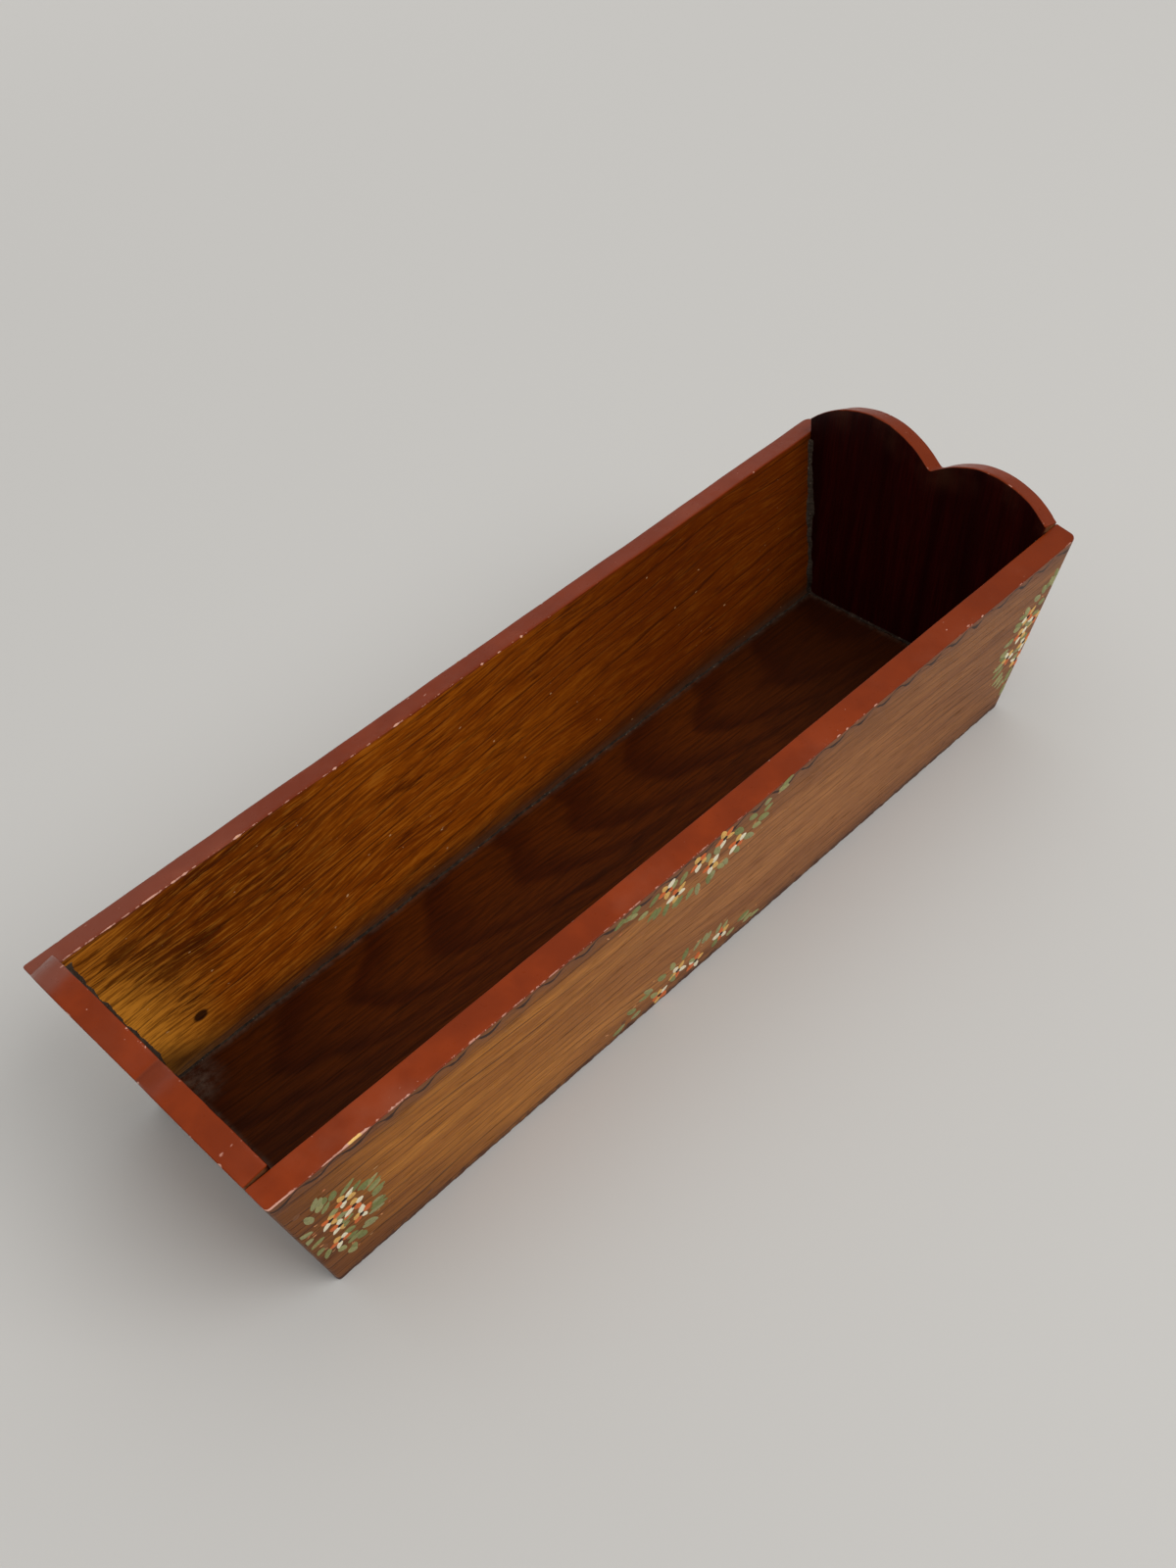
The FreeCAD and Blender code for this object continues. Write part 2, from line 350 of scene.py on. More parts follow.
def board(name, node, stations, tops, thickness, rounding, bend, reach_at, place, chip_plans, wear,
          seed, face_points, half, map_shift, upright, stain_edge):
    """Board as a tube: section carried along its stations, eased at its ends and placed by a function.

    rounding is how far the easing goes in from an end, and bend is the radius of the outer upright corner: it
    moves a point inwards by its bite * (1 - depth / thickness), so the rim follows the corner.
    tops are the heights of the rim's outer and inner edge up the face, at each station.
    reach_at gives half the board's length at a height, and place turns along, out and height into X, Y and Z.
    wear is how much the outer and the inner edge of the rim are rubbed, at each station. stain_edge is how
    far the paint stops short of the inner edge.
    """
    share, reach, inset = stations
    outer_top, inner_top = tops
    outer_chip, inner_chip = (chips(share * half, seed + i, plan) for i, plan in enumerate(chip_plans))
    foot = FOOT_ARRIS * np.clip(1.0 + 0.8 * wander(share * half, seed + 5, FOOT_WAVE), 0.3, 2.0)
    radii = np.stack((foot, ARRIS + CHIP_DEPTH * outer_chip, ARRIS + CHIP_DEPTH * inner_chip,
                      np.full_like(foot, INNER_FOOT_ARRIS)), axis=1)
    counts = (face_points, RIM_POINTS, face_points, UNDER_POINTS)
    corners = section_corners(outer_top, inner_top, thickness)
    section, normals, starts = rounded_section(corners, radii, counts, WALL_NORMALS)
    gap = rounding * (1.0 - np.abs(reach))
    section = ease_ends(section, normals, gap, inset, thickness, ARRIS)
    depth, up = section[..., 0], section[..., 1]
    bent = depth + quarter_bite(bend, gap)[:, None] * (1.0 - depth / thickness)
    height = up * LEAN_UP + bent * LEAN_OUT
    longest = reach_at(height)
    along = share[:, None] * (longest - rounding) + reach[:, None] * rounding
    whole = (inset == 0.0)[:, None]
    cap = np.zeros_like(up) + (np.abs(reach) == 1.0)[:, None]
    past_rim = up - outer_top[:, None] - (inner_top - outer_top)[:, None] * depth / thickness
    chip = np.zeros_like(up)
    chip[:, starts[1]:starts[1] + ARC_POINTS] = outer_chip[:, None]
    chip[:, starts[2]:starts[2] + ARC_POINTS] = inner_chip[:, None]
    layers = {
        "rim": past_rim + np.minimum(depth, thickness - stain_edge - depth) * (1.0 - cap),
        "cap": cap,
        "inside": (normals[:, 0] > 0.0) * whole,
        "trail": along,
        "border": np.minimum(up, longest - np.abs(along)) * whole,
        "foot": up,
        "chip": chip * whole,
        "wear": wear[0][:, None] + (wear[1] - wear[0])[:, None] * depth / thickness,
    }
    points = place(along, up * LEAN_OUT - bent * LEAN_UP, height)
    uv = board_map(section, along, outer_top.max(), thickness, map_shift, upright)
    layers = {label: values[None] for label, values in layers.items()}
    return tube_piece(name, points[None], (node,), layers, uv)


# %% [markdown]
# ## The two long sides
#
# A side is a thin board that leans outwards. Its top edge was planed square to its faces, and its two ends
# were cut to the slope of the end boards. A cube with a bevel would give the shape, but not the worn edge.
# Chips lie closest on the inner edge of the left rim and at the near end of the right rim's outer edge. The
# upright corners are rounded, the far ones more than the near ones.

# %% Side boards
CORNER_ROUND = 2.5 * MM
NEAR_CORNER_ROUND = 1.0 * MM
SIDE_TOP = SIDE_HEIGHT / LEAN_UP
SIDE_MAP_SHIFT = 0.7
RIM_WANDER, RIM_WAVE = 0.12 * MM, 110 * MM
SIDE_STATIONS, SIDE_POINTS = 460, 26
WHOLE_RIM = (-HALF_LENGTH, HALF_LENGTH)
NEAR_CORNER = (-HALF_LENGTH, -HALF_LENGTH + 28 * MM)
NEAR_HALF = (-HALF_LENGTH, 25 * MM)
SLIVER = (-131.0 * MM, -129.0 * MM)


def side_board(name, node, hand, seed, chip_plans, near_wear, far_wear, inner_wear):
    """Long side: its section carried along X, leaning towards its own hand. Wear fades along it."""
    stations = board_stations(SIDE_STATIONS)
    top = SIDE_TOP + RIM_WANDER * (wander(stations[0] * HALF_LENGTH, seed, RIM_WAVE) - 1.0)
    fade = np.clip(0.75 + 0.9 * stations[0], 0.0, 1.0)
    wear = (near_wear + (far_wear - near_wear) * fade, inner_wear * (1.0 - 0.75 * fade**2))

    def place(along, out, height):
        return np.stack((along, hand * (side_face(0.0, 0.0) + out), height), axis=-1)

    bend = np.where(stations[0] < 0.0, NEAR_CORNER_ROUND, CORNER_ROUND)
    return board(name, node, stations, (top, top), SIDE_THICKNESS, CORNER_ROUND, bend,
                 lambda height: end_face(height, 0.0), place, chip_plans, wear, seed, SIDE_POINTS,
                 HALF_LENGTH, hand * SIDE_MAP_SHIFT, upright=False, stain_edge=0.0)


LEFT_CHIPS = [(5, WHOLE_RIM, 0.5 * MM)], [(13, NEAR_HALF, 0.8 * MM)]
RIGHT_OUTER_CHIPS = [(7, WHOLE_RIM, 0.4 * MM), (6, NEAR_CORNER, 0.9 * MM), (4, SLIVER, 1.3 * MM)]
RIGHT_CHIPS = RIGHT_OUTER_CHIPS, [(3, WHOLE_RIM, 0.4 * MM)]
left_board = side_board("left_side_board", "left_side", 1, 11, LEFT_CHIPS, near_wear=0.3, far_wear=0.3,
                        inner_wear=1.2)
right_board = side_board("right_side_board", "right_side", -1, 23, RIGHT_CHIPS, near_wear=1.7, far_wear=0.5,
                         inner_wear=0.1)

# %% [markdown]
# ## The two humped ends
#
# An end stands between the sides. Its top is two humps with a notch between them, each hump one arc of a
# circle. They were cut by hand, so the left one is a little taller than the right one and the notch is off
# the middle. The rim's height is the higher of the two circles, with the notch softened by sandpaper and
# paint: instead of max(a, b) we take (a + b + sqrt((a - b)^2 + softness^2)) / 2. The board widens upwards,
# so the place across and the height depend on each other, and a few rounds of the same two formulas settle
# both. The saw ran a little off square on the far end, so its rim falls outwards.

# %% End boards
NOTCH_SOFTNESS = 1.5 * MM
END_WANDER, END_WAVE = 0.08 * MM, 60 * MM
END_STATIONS, END_POINTS = 281, 32
SETTLING_ROUNDS = 6
END_MAP_SHIFT = 0.4
END_STAIN_EDGE = 0.35 * MM


def hump(crest_rise, foot_lift, crest_share):
    """Circle of a hump: centre across, centre up the face and radius. It is level at the crest."""
    foot_height = RIM_HEIGHT + foot_lift - END_THICKNESS * LEAN_OUT / 2
    half = side_face(foot_height, SIDE_THICKNESS + JOINT_GAP)
    drop, run = crest_rise - foot_lift, half * (1 - crest_share)
    radius = (run**2 + drop**2) / (2 * drop)
    return half * crest_share, foot_height / LEAN_UP + drop - radius, radius


LEFT_HUMP = hump(crest_rise=11.4 * MM, foot_lift=2.7 * MM, crest_share=0.485)
RIGHT_HUMP = hump(crest_rise=9.2 * MM, foot_lift=1.1 * MM, crest_share=0.517)
END_HALF = side_face(RIM_HEIGHT, SIDE_THICKNESS + JOINT_GAP)


def hump_top(across):
    """Height of the rim up the face: soft maximum of the two humps' circles."""
    heights = []
    for hand, (middle, centre_up, radius) in ((1, LEFT_HUMP), (-1, RIGHT_HUMP)):
        away = np.clip(across - hand * middle, -radius, radius)
        heights.append(centre_up + np.sqrt(radius**2 - away**2))
    left, right = heights
    return (left + right + np.hypot(left - right, NOTCH_SOFTNESS)) / 2


def end_board(name, node, hand, seed, gaps, inner_rise, chip_plans):
    """End: its section carried along Y, with its rim at the humps. gaps are its joints at -Y and +Y.

    inner_rise is how much higher the rim's inner edge is than a square cut would leave it.
    """
    stations = board_stations(END_STATIONS, corner_steps=3)
    share = stations[0]
    gap = np.where(share < 0.0, gaps[0], gaps[1])[:, None]
    top = np.full_like(share, SIDE_TOP)
    for _ in range(SETTLING_ROUNDS):
        rim_height = top * LEAN_UP + END_THICKNESS * LEAN_OUT / 2
        top = hump_top(share * side_face(rim_height, SIDE_THICKNESS + JOINT_GAP))
    top = top + END_WANDER * (wander(share * END_HALF, seed, END_WAVE) - 1.0)
    rubbed = 0.25 + 0.45 * np.clip((np.abs(share) - 0.9) / 0.08, 0.0, 1.0)

    def place(along, out, height):
        return np.stack((hand * (end_face(0.0, 0.0) + out), along, height), axis=-1)

    return board(name, node, stations, (top, top + inner_rise), END_THICKNESS, ARRIS, 0.0,
                 lambda height: side_face(height, SIDE_THICKNESS + gap), place, chip_plans, (rubbed, rubbed),
                 seed, END_POINTS, END_HALF, hand * END_MAP_SHIFT, upright=True, stain_edge=END_STAIN_EDGE)


END_SPAN = (-END_HALF, END_HALF)
NEAR_GAPS, FAR_GAPS = (0.45 * MM, JOINT_GAP), (JOINT_GAP, JOINT_GAP)
NEAR_CHIPS, FAR_CHIPS = [(6, END_SPAN, 0.4 * MM)], [(2, END_SPAN, 0.35 * MM)]
near_board = end_board("near_end_board", "near_end", -1, 37, NEAR_GAPS, inner_rise=0.0,
                       chip_plans=(NEAR_CHIPS, []))
far_board = end_board("far_end_board", "far_end", 1, 53, FAR_GAPS, inner_rise=1.3 * MM,
                      chip_plans=(FAR_CHIPS, []))

# %% [markdown]
# ## The bottom
#
# The bottom is let in between the four walls, a few millimetres above the surface that the box stands on.
# Its edges are bevelled to the walls. It is a board too, lying flat, and its top has a slight hollow across
# the grain, as an old board has.

# %% Bottom board
FLOOR_EASE = 0.25 * MM
FLOOR_HOLLOW = 0.25 * MM
FLOOR_STATIONS, FLOOR_COUNTS = 160, (2, 40, 2, 12)
FLOOR_NORMALS = np.array(((-LEAN_UP, -LEAN_OUT), (0.0, 1.0), (LEAN_UP, -LEAN_OUT), (0.0, -1.0)))


def floor_board():
    """Bottom: a section of two bevelled edges carried along X, its top hollowed by a parabola across."""
    share, reach, inset = board_stations(FLOOR_STATIONS, corner_steps=2)
    low, high = (side_face(height, SIDE_THICKNESS + JOINT_GAP) for height in (FLOOR_UNDERSIDE, FLOOR_HEIGHT))
    pairs = ((-low, FLOOR_UNDERSIDE), (-high, FLOOR_HEIGHT), (high, FLOOR_HEIGHT), (low, FLOOR_UNDERSIDE))
    corners = np.broadcast_to(np.array(pairs), (len(share), 4, 2))
    radii = np.full((len(share), 4), FLOOR_EASE)
    section, normals, _ = rounded_section(corners, radii, FLOOR_COUNTS, FLOOR_NORMALS)
    thickness = FLOOR_HEIGHT - FLOOR_UNDERSIDE
    section = ease_ends(section, normals, FLOOR_EASE * (1.0 - np.abs(reach)), inset, thickness, FLOOR_EASE)
    across, height = section[..., 0], section[..., 1]
    along = share[:, None] * (end_face(height, END_THICKNESS + JOINT_GAP) - FLOOR_EASE)
    along = along + reach[:, None] * FLOOR_EASE
    is_top = np.clip(normals[:, 1], 0.0, 1.0) * (inset == 0.0)[:, None]
    height = height - FLOOR_HOLLOW * is_top * (1.0 - (across / high) ** 2)
    points = np.stack((along, across, height), axis=-1)
    uv = np.stack((along, across + is_top), axis=-1)
    return tube_piece("floor_board", points[None], ("bottom_board",), uv=uv)


bottom_board = floor_board()

# %% [markdown]
# ## Old glue in the corners
#
# Glue was squeezed out along the floor and up the four inner corners, and years of dust stuck to it. A
# plain fillet would look like sealant. So each run has two ragged feet, one on each wall, which follow
# their own wanders, and between them its surface sinks into the corner.

# %% Glue runs
GLUE_WIDTH = 0.85 * MM
GLUE_RISE = 0.965
GLUE_BROAD, GLUE_FINE = 37 * MM, 6.5 * MM
UPRIGHT_SWELL = 2.9
UPRIGHT_RAGGED, FLOOR_RAGGED = 0.09, 0.16
GLUE_OUTLINE = np.array(((-0.3, -0.3), (1.0, -0.12), (0.62, 0.14), (0.36, 0.36), (0.14, 0.62), (-0.12, 1.0)))


def inner_corner(height):
    """Place of an upright inner corner at a height, in the quarter of +X and +Y."""
    return Vector((end_face(height, END_THICKNESS), side_face(height, SIDE_THICKNESS), height))


inner_low, inner_high = inner_corner(FLOOR_HEIGHT), inner_corner(GLUE_RISE * RIM_HEIGHT)


def glue_ends():
    """Start, stop and the two wall directions of every run: four on the floor and four up the corners."""
    runs = []
    for hand in (-1, 1):
        x, y, z = inner_low
        runs.append(((-x, hand * y, z), (x, hand * y, z), (0, -hand, 0), (0, hand * LEAN_OUT, LEAN_UP)))
        runs.append(((hand * x, -y, z), (hand * x, y, z), (-hand, 0, 0), (hand * LEAN_OUT, 0, LEAN_UP)))
        for far in (-1, 1):
            low = (far * x, hand * y, z)
            high = (far * inner_high[0], hand * inner_high[1], inner_high[2])
            runs.append((low, high, (-far, 0, 0), (0, -hand, 0)))
    return np.array([np.stack(run) for run in runs], float)


def glue_runs(stations=420):
    """Point = place on the run + first wall * first foot * outline + second wall * second foot * outline."""
    start, stop, first, second = (part[:, None, None] for part in np.moveaxis(glue_ends(), 1, 0))
    share = np.linspace(0.0, 1.0, stations)[None, :]
    way = share * np.linalg.norm((stop - start)[:, 0, 0], axis=-1)[:, None]
    upright = ((stop - start)[:, 0, 0, 2] > 0.0)[:, None]
    feet = []
    for seed in (71, 83):
        broad = np.stack([wander(row, seed + i, GLUE_BROAD) for i, row in enumerate(way)])
        fine = np.stack([wander(row, seed + 40 + i, GLUE_FINE, 5) for i, row in enumerate(way)])
        ragged = np.where(upright, UPRIGHT_RAGGED, FLOOR_RAGGED) * fine
        swell = np.clip(0.62 + 0.3 * broad + ragged, 0.15, 1.5) * np.where(upright, UPRIGHT_SWELL, 1.0)
        feet.append(GLUE_WIDTH * swell[..., None, None])
    base = start + (stop - start) * share[..., None, None]
    points = base + first * feet[0] * GLUE_OUTLINE[:, :1] + second * feet[1] * GLUE_OUTLINE[:, 1:]
    return tube_piece("glue_runs", points, ("glue_fillet",))


glue = glue_runs()

# %% [markdown]
# ## Putty over the brads
#
# The boards are held by headless-looking brads, set below the surface and filled over. Only a faint round
# spot is left of each. A spot is a shallow dome on the face, turned about its own axis from a short
# profile.

# %% Putty spots
PUTTY_RADIUS, PUTTY_SIDES = 1.05 * MM, 12
PUTTY_PROFILE = np.array(((0.3, -0.30), (1.0, -0.30), (1.0, 0.0), (0.7, 0.035), (0.2, 0.045))) * (1.0, MM)
CORNER_SHARES = (0.40, 0.80)
SIDE_SHARES = (-0.36, -0.12, 0.12, 0.36)
END_SHARES = (-0.22, 0.22)
BRAD_SLOPE_DROP = 9.4 * MM
BRAD_HEIGHT = (FLOOR_UNDERSIDE + FLOOR_HEIGHT) / 2 - BRAD_SLOPE_DROP * LEAN_OUT


def putty_spots(name, node, spots):
    """Discs about each spot: centre + radius * (across cos + up the face sin) + height * outward."""
    centres, outward, across = (np.array(part, float)[:, None, None] for part in zip(*spots))
    turn = np.linspace(0.0, 2 * math.pi, PUTTY_SIDES, endpoint=False)[None, None, :, None]
    ring = across * np.cos(turn) + np.cross(outward, across) * np.sin(turn)
    spread, lift = PUTTY_PROFILE[None, :, None, :1] * PUTTY_RADIUS, PUTTY_PROFILE[None, :, None, 1:]
    return tube_piece(name, centres + ring * spread + outward * lift, (node,))


def side_spot(hand, x, z):
    """Centre, outward direction and level direction of a spot on a side's outer face."""
    return (x, hand * side_face(z, 0.0), z), (0, hand * LEAN_UP, -LEAN_OUT), (1, 0, 0)


def end_spot(hand, y, z):
    """The same three for a spot on an end's outer face."""
    return (hand * end_face(z, 0.0), y, z), (hand * LEAN_UP, 0, -LEAN_OUT), (0, 1, 0)


corner_spots, bottom_spots = [], []
for hand in (-1, 1):
    rows = [(far, share * SIDE_HEIGHT) for far in (-1, 1) for share in CORNER_SHARES]
    corner_spots += [side_spot(hand, far * end_face(z, END_THICKNESS / 2), z) for far, z in rows]
    bottom_spots += [side_spot(hand, share * 2 * HALF_LENGTH, BRAD_HEIGHT) for share in SIDE_SHARES]
    bottom_spots += [end_spot(hand, share * 2 * HALF_WIDTH, BRAD_HEIGHT) for share in END_SHARES]
putty = [putty_spots("corner_putty_spots", "corner_putty", corner_spots),
         putty_spots("bottom_putty_spots", "bottom_putty", bottom_spots)]

# %% [markdown]
# ## One touch of the brush
#
# The flowers are folk painting of the simplest kind: each leaf and each petal is one touch of a small round
# brush. It leaves a drop of paint with a full end, a thin tail and a little body that can be felt. A
# painted mask in the material would be flat, so each dab is a thin closed lens of its own, only a tenth of
# a millimetre high. All the dabs of one kind on a side are made in one array.

# %% Dabs on a side's outer face
DAB_STATIONS = 7
DAB_ACROSS = np.array((-1.0, -0.6, 0.0, 0.6, 1.0, 0.0))
DAB_LIFT = np.array((0.05, 0.75, 1.0, 0.75, 0.05, -0.6))
PAINT_BODY = 0.12 * MM
CENTRE_BODY = 0.2 * MM
CORNER_KEEP = 0.9 * MM


def on_side(hand, x, up, lift):
    """Point of a side's outer face from its place along the face, up the face and above the face.

    Near an upright corner the face draws in by a quarter circle, and every point keeps a set gap to the end.
    """
    end = end_face(up * LEAN_UP, 0.0)
    gap = np.maximum(end - np.abs(x), CORNER_KEEP)
    above = lift - quarter_bite(np.where(x < 0.0, NEAR_CORNER_ROUND, CORNER_ROUND), gap)
    out = side_face(0.0, 0.0) + up * LEAN_OUT + above * LEAN_UP
    return np.stack((np.sign(x) * (end - gap), hand * out, up * LEAN_UP - above * LEAN_OUT), axis=-1)


def dabs(name, hand, body, start, turn, length, width, tint):
    """Lens for each dab: middle line start + length * s along its turn, half width and height sin(pi s)^0.7.

    s is bent towards the start, so the dab is fullest there. body is the paint's height, tint its colour.
    """
    share = np.linspace(0.0, 1.0, DAB_STATIONS)[None, :, None]
    swell = np.sin(math.pi * (0.05 + 0.9 * share**0.8)) ** 0.7
    ahead, aside = heading(turn)[:, None, None], heading(turn + math.pi / 2)[:, None, None]
    run, half = (np.asarray(size)[:, None, None] for size in (length, width / 2))
    flat = start[:, None, None] + ahead * (run * share)[..., None]
    flat = flat + aside * (half * swell * DAB_ACROSS)[..., None]
    points = on_side(hand, flat[..., 0], flat[..., 1], body * swell * DAB_LIFT + np.zeros_like(half))
    tints = np.broadcast_to(tint[:, None, None], points.shape[:3] + (4,))
    return tube_piece(name, points, (), {"tint": tints})


# %% [markdown]
# ## Garlands
#
# A garland hugs an edge of the face: the rim, the foot or an upright corner. Its flowers swing between the
# edge and the middle of its depth, its leaves fan out from it and lie down towards both of its tails, and
# small flecks are scattered round it. One formula with a few sizes and a seed gives all of them, so the
# layout is this box's own.

# %% Layout of a garland
def srgb(red, green, blue):
    """Colour as a screen shows it, 0 to 255, turned into the linear values that Blender works with."""
    shown = np.array((red, green, blue)) / 255.0
    linear = np.where(shown <= 0.04045, shown / 12.92, ((shown + 0.055) / 1.055) ** 2.4)
    return (*(float(value) for value in linear), 1.0)


PETAL_TINTS = np.array((srgb(242, 232, 200), srgb(226, 176, 96), srgb(216, 108, 50)))
LEAF_TINTS = np.array((srgb(158, 154, 100), srgb(138, 138, 84), srgb(150, 147, 100), srgb(124, 128, 74)))
CENTRE_TINT = np.array(srgb(58, 34, 24))
PETALS, FLECKS = 5, 12
CENTRE_SIZE, PETAL_START = 1.9 * MM, 0.5 * MM
FLOWER_SPAN, FLOWER_DEPTHS = 0.4, (0.2, 0.56)
LEAF_SPAN, LEAF_RISES, LEAF_LIE = 0.86, (0.12, 0.72), (1.3, 0.4)
PETAL_LENGTH, PETAL_WIDTH = (3.1, 0.35), (2.35, 0.25)
LEAF_LENGTH, LEAF_WIDTH = (4.4, 0.6), (2.4, 0.25)
FLECK_LENGTH, FLECK_WIDTH = (0.8, 1.7), (0.3, 0.5)
FLECK_TINTS = np.array((srgb(206, 146, 98), srgb(196, 120, 84), srgb(178, 134, 92)))


def flower_places(plan, draw):
    """Centres: share t along the garland, and a depth that swings between two shares of (1 - 0.45 t^2)."""
    base, along, away, half, depth, count = plan
    share = np.linspace(-FLOWER_SPAN, FLOWER_SPAN, count) + draw.normal(0.0, 0.03, count)
    swing = np.where(np.arange(count) % 2 == 0, *FLOWER_DEPTHS) + draw.normal(0.0, 0.05, count)
    far = swing * (1.0 - 0.45 * share**2) * depth
    return base + along * (half * share)[:, None] + away * far[:, None]


def petals_of(centres, draw):
    """Dabs round each centre at equal turns, each starting a little way out and lying away from it."""
    count = len(centres)
    turn = draw.uniform(0.0, 2 * math.pi, (count, 1)) + np.arange(PETALS) * (2 * math.pi / PETALS)
    turn = (turn + draw.normal(0.0, 0.12, turn.shape)).ravel()
    start = np.repeat(centres, PETALS, axis=0) + PETAL_START * heading(turn)
    order = (draw.integers(0, 3, (count, 1)) + np.arange(PETALS)).ravel() % 3
    length, width = draw.normal(*PETAL_LENGTH, turn.shape) * MM, draw.normal(*PETAL_WIDTH, turn.shape) * MM
    return start, turn, length, width, PETAL_TINTS[order]


def leaves_of(plan, count, draw):
    """Leaf at share t: it lies along away * (1.05 - |t|) + along * lie * t, from a low arc over the edge.

    lie is smaller for an upright garland, whose leaves keep more to the length of the board.
    """
    base, along, away, half, depth, _ = plan
    share = np.linspace(-1.0, 1.0, count) + draw.normal(0.0, 0.03, count)
    rise = depth * (0.08 + (1.0 - share**2) * np.where(np.arange(count) % 3 == 0, *LEAF_RISES))
    start = base + along * (LEAF_SPAN * half * share)[:, None] + away * rise[:, None]
    lie = np.abs(along) @ LEAF_LIE
    leaning = away * (1.05 - np.abs(share))[:, None] + along * (lie * share)[:, None]
    turn = np.arctan2(leaning[:, 1], leaning[:, 0]) + draw.normal(0.0, 0.3, count)
    tint = LEAF_TINTS[draw.integers(0, len(LEAF_TINTS), count)]
    return start, turn, draw.normal(*LEAF_LENGTH, count) * MM, draw.normal(*LEAF_WIDTH, count) * MM, tint


def flecks_of(plan, count, draw):
    """Small touches scattered past the leaves, at 0.72 to 1.14 of the garland's outline."""
    base, along, away, half, depth, _ = plan
    swing, far = draw.uniform(0.05, math.pi - 0.05, count), draw.uniform(0.72, 1.14, count)
    spread, rise = half * far * np.cos(swing), depth * far * np.sin(swing)
    start = base + along * spread[:, None] + away * rise[:, None]
    turn = draw.normal(0.15, 0.5, count)
    tint = FLECK_TINTS[draw.integers(0, len(FLECK_TINTS), count)]
    return start, turn, draw.uniform(*FLECK_LENGTH, count) * MM, draw.uniform(*FLECK_WIDTH, count) * MM, tint


# %% [markdown]
# ## Four garlands on each side
#
# A side has a swag under the middle of its rim, a smaller one over its foot, and an upright garland at each
# end. The one at the near end stands clear of its corner, so a fifth plan adds leaves and flecks on its
# other side. The dabs are gathered by kind, so a side has four pieces: leaves, petals, dark centres and
# flecks.

# %% Garlands of both sides
FACE_X, FACE_UP = np.array((1.0, 0.0)), np.array((0.0, 1.0))
CORNER_FOOT = end_face(0.0, 0.0)
SWAG_PLACE = -10 * MM
GARLAND_RISE = 31 * MM


def garland_plans():
    """Base, direction along, direction away, half length, depth and flower count of the four garlands.

    The last plan has no flowers. It fills the space between the near garland and its corner.
    """
    plans = [(np.array((SWAG_PLACE, SIDE_TOP - 1.2 * MM)), FACE_X, -FACE_UP, 33 * MM, 18 * MM, 6),
             (np.array((SWAG_PLACE, 2.6 * MM)), FACE_X, FACE_UP, 32 * MM, 13 * MM, 4)]
    for far, edge, half, depth in ((-1, 6 * MM, 21 * MM, 18 * MM), (1, 0.8 * MM, 25 * MM, 16 * MM)):
        along, away = np.array((far * LEAN_OUT, LEAN_UP)), np.array((-far * LEAN_UP, LEAN_OUT))
        middle = np.array((far * (CORNER_FOOT + GARLAND_RISE * LEAN_OUT - edge), GARLAND_RISE))
        plans.append((middle, along, away, half, depth, 6))
    plans.append((*plans[2][:2], -plans[2][2], 14 * MM, 4 * MM, 0))
    return plans


def gathered(rows):
    """Several groups of dabs joined into one: each of the five columns is put end to end."""
    return [np.concatenate(column) for column in zip(*rows)]


def painted_side(side_name, hand, seed):
    """Leaves, petals, centres and flecks of one side."""
    draw = np.random.default_rng(seed)
    leaves, petals, centres, flecks = [], [], [], []
    for plan in garland_plans():
        places = flower_places(plan, draw)
        leaves.append(leaves_of(plan, 4 * len(places) + 7, draw))
        petals.append(petals_of(places, draw))
        size = np.full(len(places), CENTRE_SIZE)
        back = places - 0.5 * size[:, None] * FACE_X
        centres.append((back, np.zeros(len(places)), size, size,
                        np.repeat(CENTRE_TINT[None], len(places), 0)))
        flecks.append(flecks_of(plan, FLECKS, draw))
    kinds = {"leaves": (PAINT_BODY, leaves), "flecks": (PAINT_BODY, flecks), "petals": (PAINT_BODY, petals),
             "centres": (CENTRE_BODY, centres)}
    return [dabs(f"{side_name}_{kind}", hand, body, *gathered(rows)) for kind, (body, rows) in kinds.items()]


painted = painted_side("right", -1, 101) + painted_side("left", 1, 202)

# %% [markdown]
# ## Words for node trees
#
# A material is a tree of nodes. Made by hand in the editor, each node takes many clicks, and in code each
# takes many lines. So the nodes that occur again and again get a short word each: add for any node, plus
# and times for sums, ramp for a soft step between two values, blend for mixing colours and noise for an
# uneven value. One tree at a time lies on the bench, and every word works on that one.

# %% Node words
bench = {}


def wire(source, target):
    """Join a socket to an input, or write a constant into it."""
    if isinstance(source, bpy.types.NodeSocket):
        bench["tree"].links.new(source, target)
    else:
        target.default_value = source


def add(kind, sockets, **settings):
    """Node of a kind on the bench, with its settings, and its inputs by name or number."""
    node = bench["tree"].nodes.new("ShaderNode" + kind)
    for label, value in settings.items():
        setattr(node, label, value)
    for label, value in sockets.items():
        wire(value, node.inputs[label])
    return node


def math_word(operation):
    """Word for a Math node of one operation."""
    return lambda *values: add("Math", dict(enumerate(values)), operation=operation).outputs[0]


plus, minus, times, divided = map(math_word, ("ADD", "SUBTRACT", "MULTIPLY", "DIVIDE"))
times_plus, most, least = map(math_word, ("MULTIPLY_ADD", "MAXIMUM", "MINIMUM"))
magnitude, fraction, sine = map(math_word, ("ABSOLUTE", "FRACT", "SINE"))


def ramp(value, low, high, floor=0.0, ceiling=1.0):
    """Soft step from floor at low to ceiling at high, level outside."""
    sockets = {"Value": value, "From Min": low, "From Max": high, "To Min": floor, "To Max": ceiling}
    return add("MapRange", sockets, interpolation_type="SMOOTHSTEP").outputs["Result"]


def blend(share, first, second, kind="MIX"):
    """Mix of two colours."""
    return add("Mix", {0: share, 6: first, 7: second}, data_type="RGBA", blend_type=kind).outputs[2]


